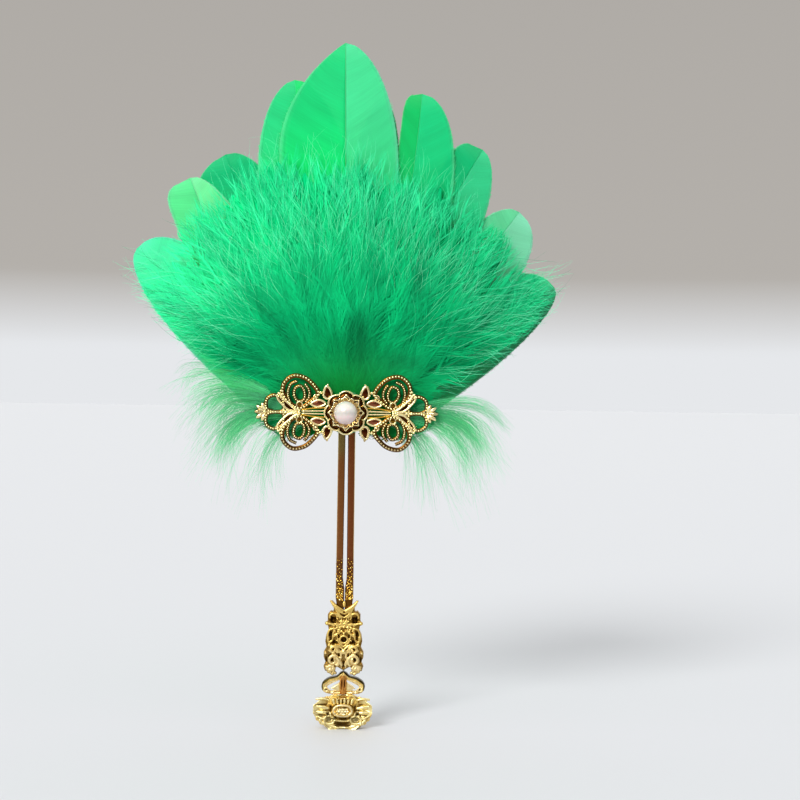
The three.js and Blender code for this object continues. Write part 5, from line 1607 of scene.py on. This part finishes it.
RIM_PITS = ((6.0, 4.3, 1.7, 1.3, 0.6), (0, 2.6, 3.1, 1.1, 0.4))
PETAL_HALVES = (
    (rod, by_heart((5.8, 4.4), (9.0, 5.2), (12.4, 4.9)), (0.4, 0.6, 0.5), -3.7),
    (rod, by_heart((5.6, 0.6), (9.0, 1.2), (12.6, 1.8)), (0.5, 1.2, 0.9), -3.4),
    (rod, by_heart((5.8, -1.0), (9.0, -1.2), (12.4, -0.9)), (0.5, 1.1, 0.8), -3.5),
    *((rod, by_heart(*((x * share, z - x * 0.12) for share, z in ((1, 3.0), (1.1, 4.4), (1.16, 5.5)))),
       (0.5, 0.62, 0.4), -3.6, 14) for x in (0.75, 2.3, 3.8)),
    (rod, by_heart((1.4, 6.9), (3.2, 6.4), (5.6, 6.3)), (0.7, 1.0, 0.6), -3.0, 20),
    *((rod, ((x - 0.6, z + 1.6), (x, z), (x + 1.4, z - 0.6)), (0.4, 0.55, 0.35), -3.9, 14)
      for x, z in ((4.6, 1.5), (8.3, 2.6))),
    (rod, by_heart((6.4, -3.2), (9.2, -3.8), (11.0, -3.0)), (0.35, 0.55, 0.3), -4.2, 18),
    (swelling, (6.0, 4.2), (2.8, 1.1, 2.3), -3.5),
    (rod, ellipse_line(6.0, 4.3, 2.3, 1.8, 12), 0.5, -4.3, 30, True),
    (rod, ((0, 0.9), (4.0, 1.1), (8.0, 2.2), (10.6, 4.4)), (0.6, 0.6, 0.5), -4.0),
    (rod, by_heart((0, -4.9), (3.2, -4.3), (5.3, -2.6), (6.1, -0.4)), (0.45, 0.45, 0.35), -4.6),
)
PETAL_PITS = (
    (6.0, 4.3, 1.6, 1.15, 0.9), (0, 2.6, 3.1, 1.1, 0.8), (3.2, HEART_Z - 3.9, 1.9, 0.6, 0.6),
    (1.2, HEART_Z - 4.1, 1.9, 0.6, 0.6), (6.6, HEART_Z - 1.6, 0.8, 1.3, 0.5), (9.6, HEART_Z - 2.2, 1.6, 0.35, 0.4),
    (5.7, HEART_Z + 0.4, 0.5, 1.5, 0.6), (9.2, HEART_Z + 2.4, 3.0, 0.25, 0.35),
)
HEART_PARTS = (
    (rod, ellipse_line(0, HEART_Z, HEART_WIDE - 0.6, HEART_TALL - 0.55, 24), 0.6, 0.75, 60, True),
    (knobs, by_heart((-2.2, 0.75), (-0.75, 0.75), (0.75, 0.75), (2.2, 0.75), (-1.5, -0.35), (0, -0.35), (1.5, -0.35)),
     0.5, 0.4),
    (rod, by_heart((-2.6, -1.3), (0, -1.9), (2.6, -1.3)), (0.3, 0.4, 0.3), 0.4, 18),
)
HEART_PITS = ((0, HEART_Z + 1.55, 2.6, 0.4, 0.5), (1.3, HEART_Z - 1.0, 0.5, 0.3, 0.3))


def rim_tone(points, facing):
    out = np.hypot(points[:, 0] / RIM_WIDE, (points[:, 2] - RIM_Z) / RIM_TALL)
    return mix(GOLD["rim"], GOLD["pale"], ease(0.75, 1, out)[:, None])


def petal_tone(points, facing):
    # Painted light: the raised petals lighter as a highlight, the ground darker as painted shade; faces turned from the
    # front are paler.
    relief = ease(1.8, 4.4, -points[:, 1])[:, None]
    return mix(mix(GOLD["peony_low"], GOLD["peony_high"], relief), GOLD["pale"], ((1 - facing) * 0.5)[:, None])


def heart_tone(points, facing):
    rise = (points[:, 2] - HEART_Z) / HEART_TALL
    out = np.hypot(points[:, 0] / HEART_WIDE, rise)
    # Painted light: lighter on the raised rim and the frontmost stamens as a painted highlight, brown under the heart
    # as painted shade.
    shade = mix(GOLD["mid"], GOLD["cream"], ease(0.6, 0.8, out)[:, None])
    seed = ease(-0.55, -0.2, HEART_FRONT - points[:, 1] + 0.35) * ease(0.62, 0.5, out)
    return mix(mix(shade, GOLD["cream"], seed[:, None]), GOLD["brown"], (ease(0.75, 0.95, -rise) * 0.8)[:, None])


class FAN_OT_peony(bpy.types.Operator):
    """The peony: scalloped backing, fluted petals and an oval heart with stamens"""

    bl_idname = "fan.peony"
    bl_label = "Peony"

    def execute(self, context):
        voxel = context.scene.fan_gilt.voxel
        turn = around(24, 0.5)
        rim = np.stack([power(np.sin(turn), 0.85) * (RIM_WIDE - 0.7),
                        RIM_Z + power(np.cos(turn), 0.85) * (RIM_TALL - 0.7)], -1)
        cast_piece("peony_rim", "peony_backing", [], [knobs(rim, 0.78, -0.5)], voxel * 1.2, 2, RIM_PITS, rim_tone)
        cast_piece("peony_fluting", "peony_petals", ornaments(PETAL_HALVES), [], voxel, 2, PETAL_PITS, petal_tone)
        cast_piece("peony_stamens", "peony_heart", [], ornaments(HEART_PARTS, HEART_FRONT), voxel * 0.8, 1,
                   HEART_PITS, heart_tone)
        return {"FINISHED"}


# Panel and start

class FAN_PT_panel(bpy.types.Panel):
    """The fan's pieces"""

    bl_idname = "FAN_PT_panel"
    bl_label = "Feather fan"
    bl_space_type = "VIEW_3D"
    bl_region_type = "UI"
    bl_category = "Feather fan"

    def draw(self, context):
        for operator in OPERATORS:
            self.layout.operator(operator.bl_idname)
        for name in GROUPS:
            group = getattr(context.scene, name)
            for key in group.bl_rna.properties.keys():
                if key not in ("rna_type", "name"):
                    self.layout.prop(group, key)


GROUPS = {"fan_stage": FanStage, "fan_feathers": FanFeathers, "fan_plumes": FanPlumes, "fan_gilt": FanGilt}
OPERATORS = (FAN_OT_stage, FAN_OT_feathers, FAN_OT_plumes, FAN_OT_tufts, FAN_OT_brooch, FAN_OT_rosette, FAN_OT_pearl,
             FAN_OT_prongs, FAN_OT_tail, FAN_OT_arch, FAN_OT_peony)
CLASSES = (*GROUPS.values(), *OPERATORS, FAN_PT_panel)


def register():
    for item in CLASSES:
        bpy.utils.register_class(item)
    for name, group in GROUPS.items():
        setattr(bpy.types.Scene, name, PointerProperty(type=group))


def unregister():
    for name in GROUPS:
        delattr(bpy.types.Scene, name)
    for item in reversed(CLASSES):
        bpy.utils.unregister_class(item)


def main():
    register()
    for operator in OPERATORS:
        group, name = operator.bl_idname.split(".")
        getattr(getattr(bpy.ops, group), name)()
    for name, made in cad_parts.items():
        if not made.hide_render:
            made.data.materials.clear()
            made.data.materials.append(finish("pin"))


if __name__ == "__main__":
    main()
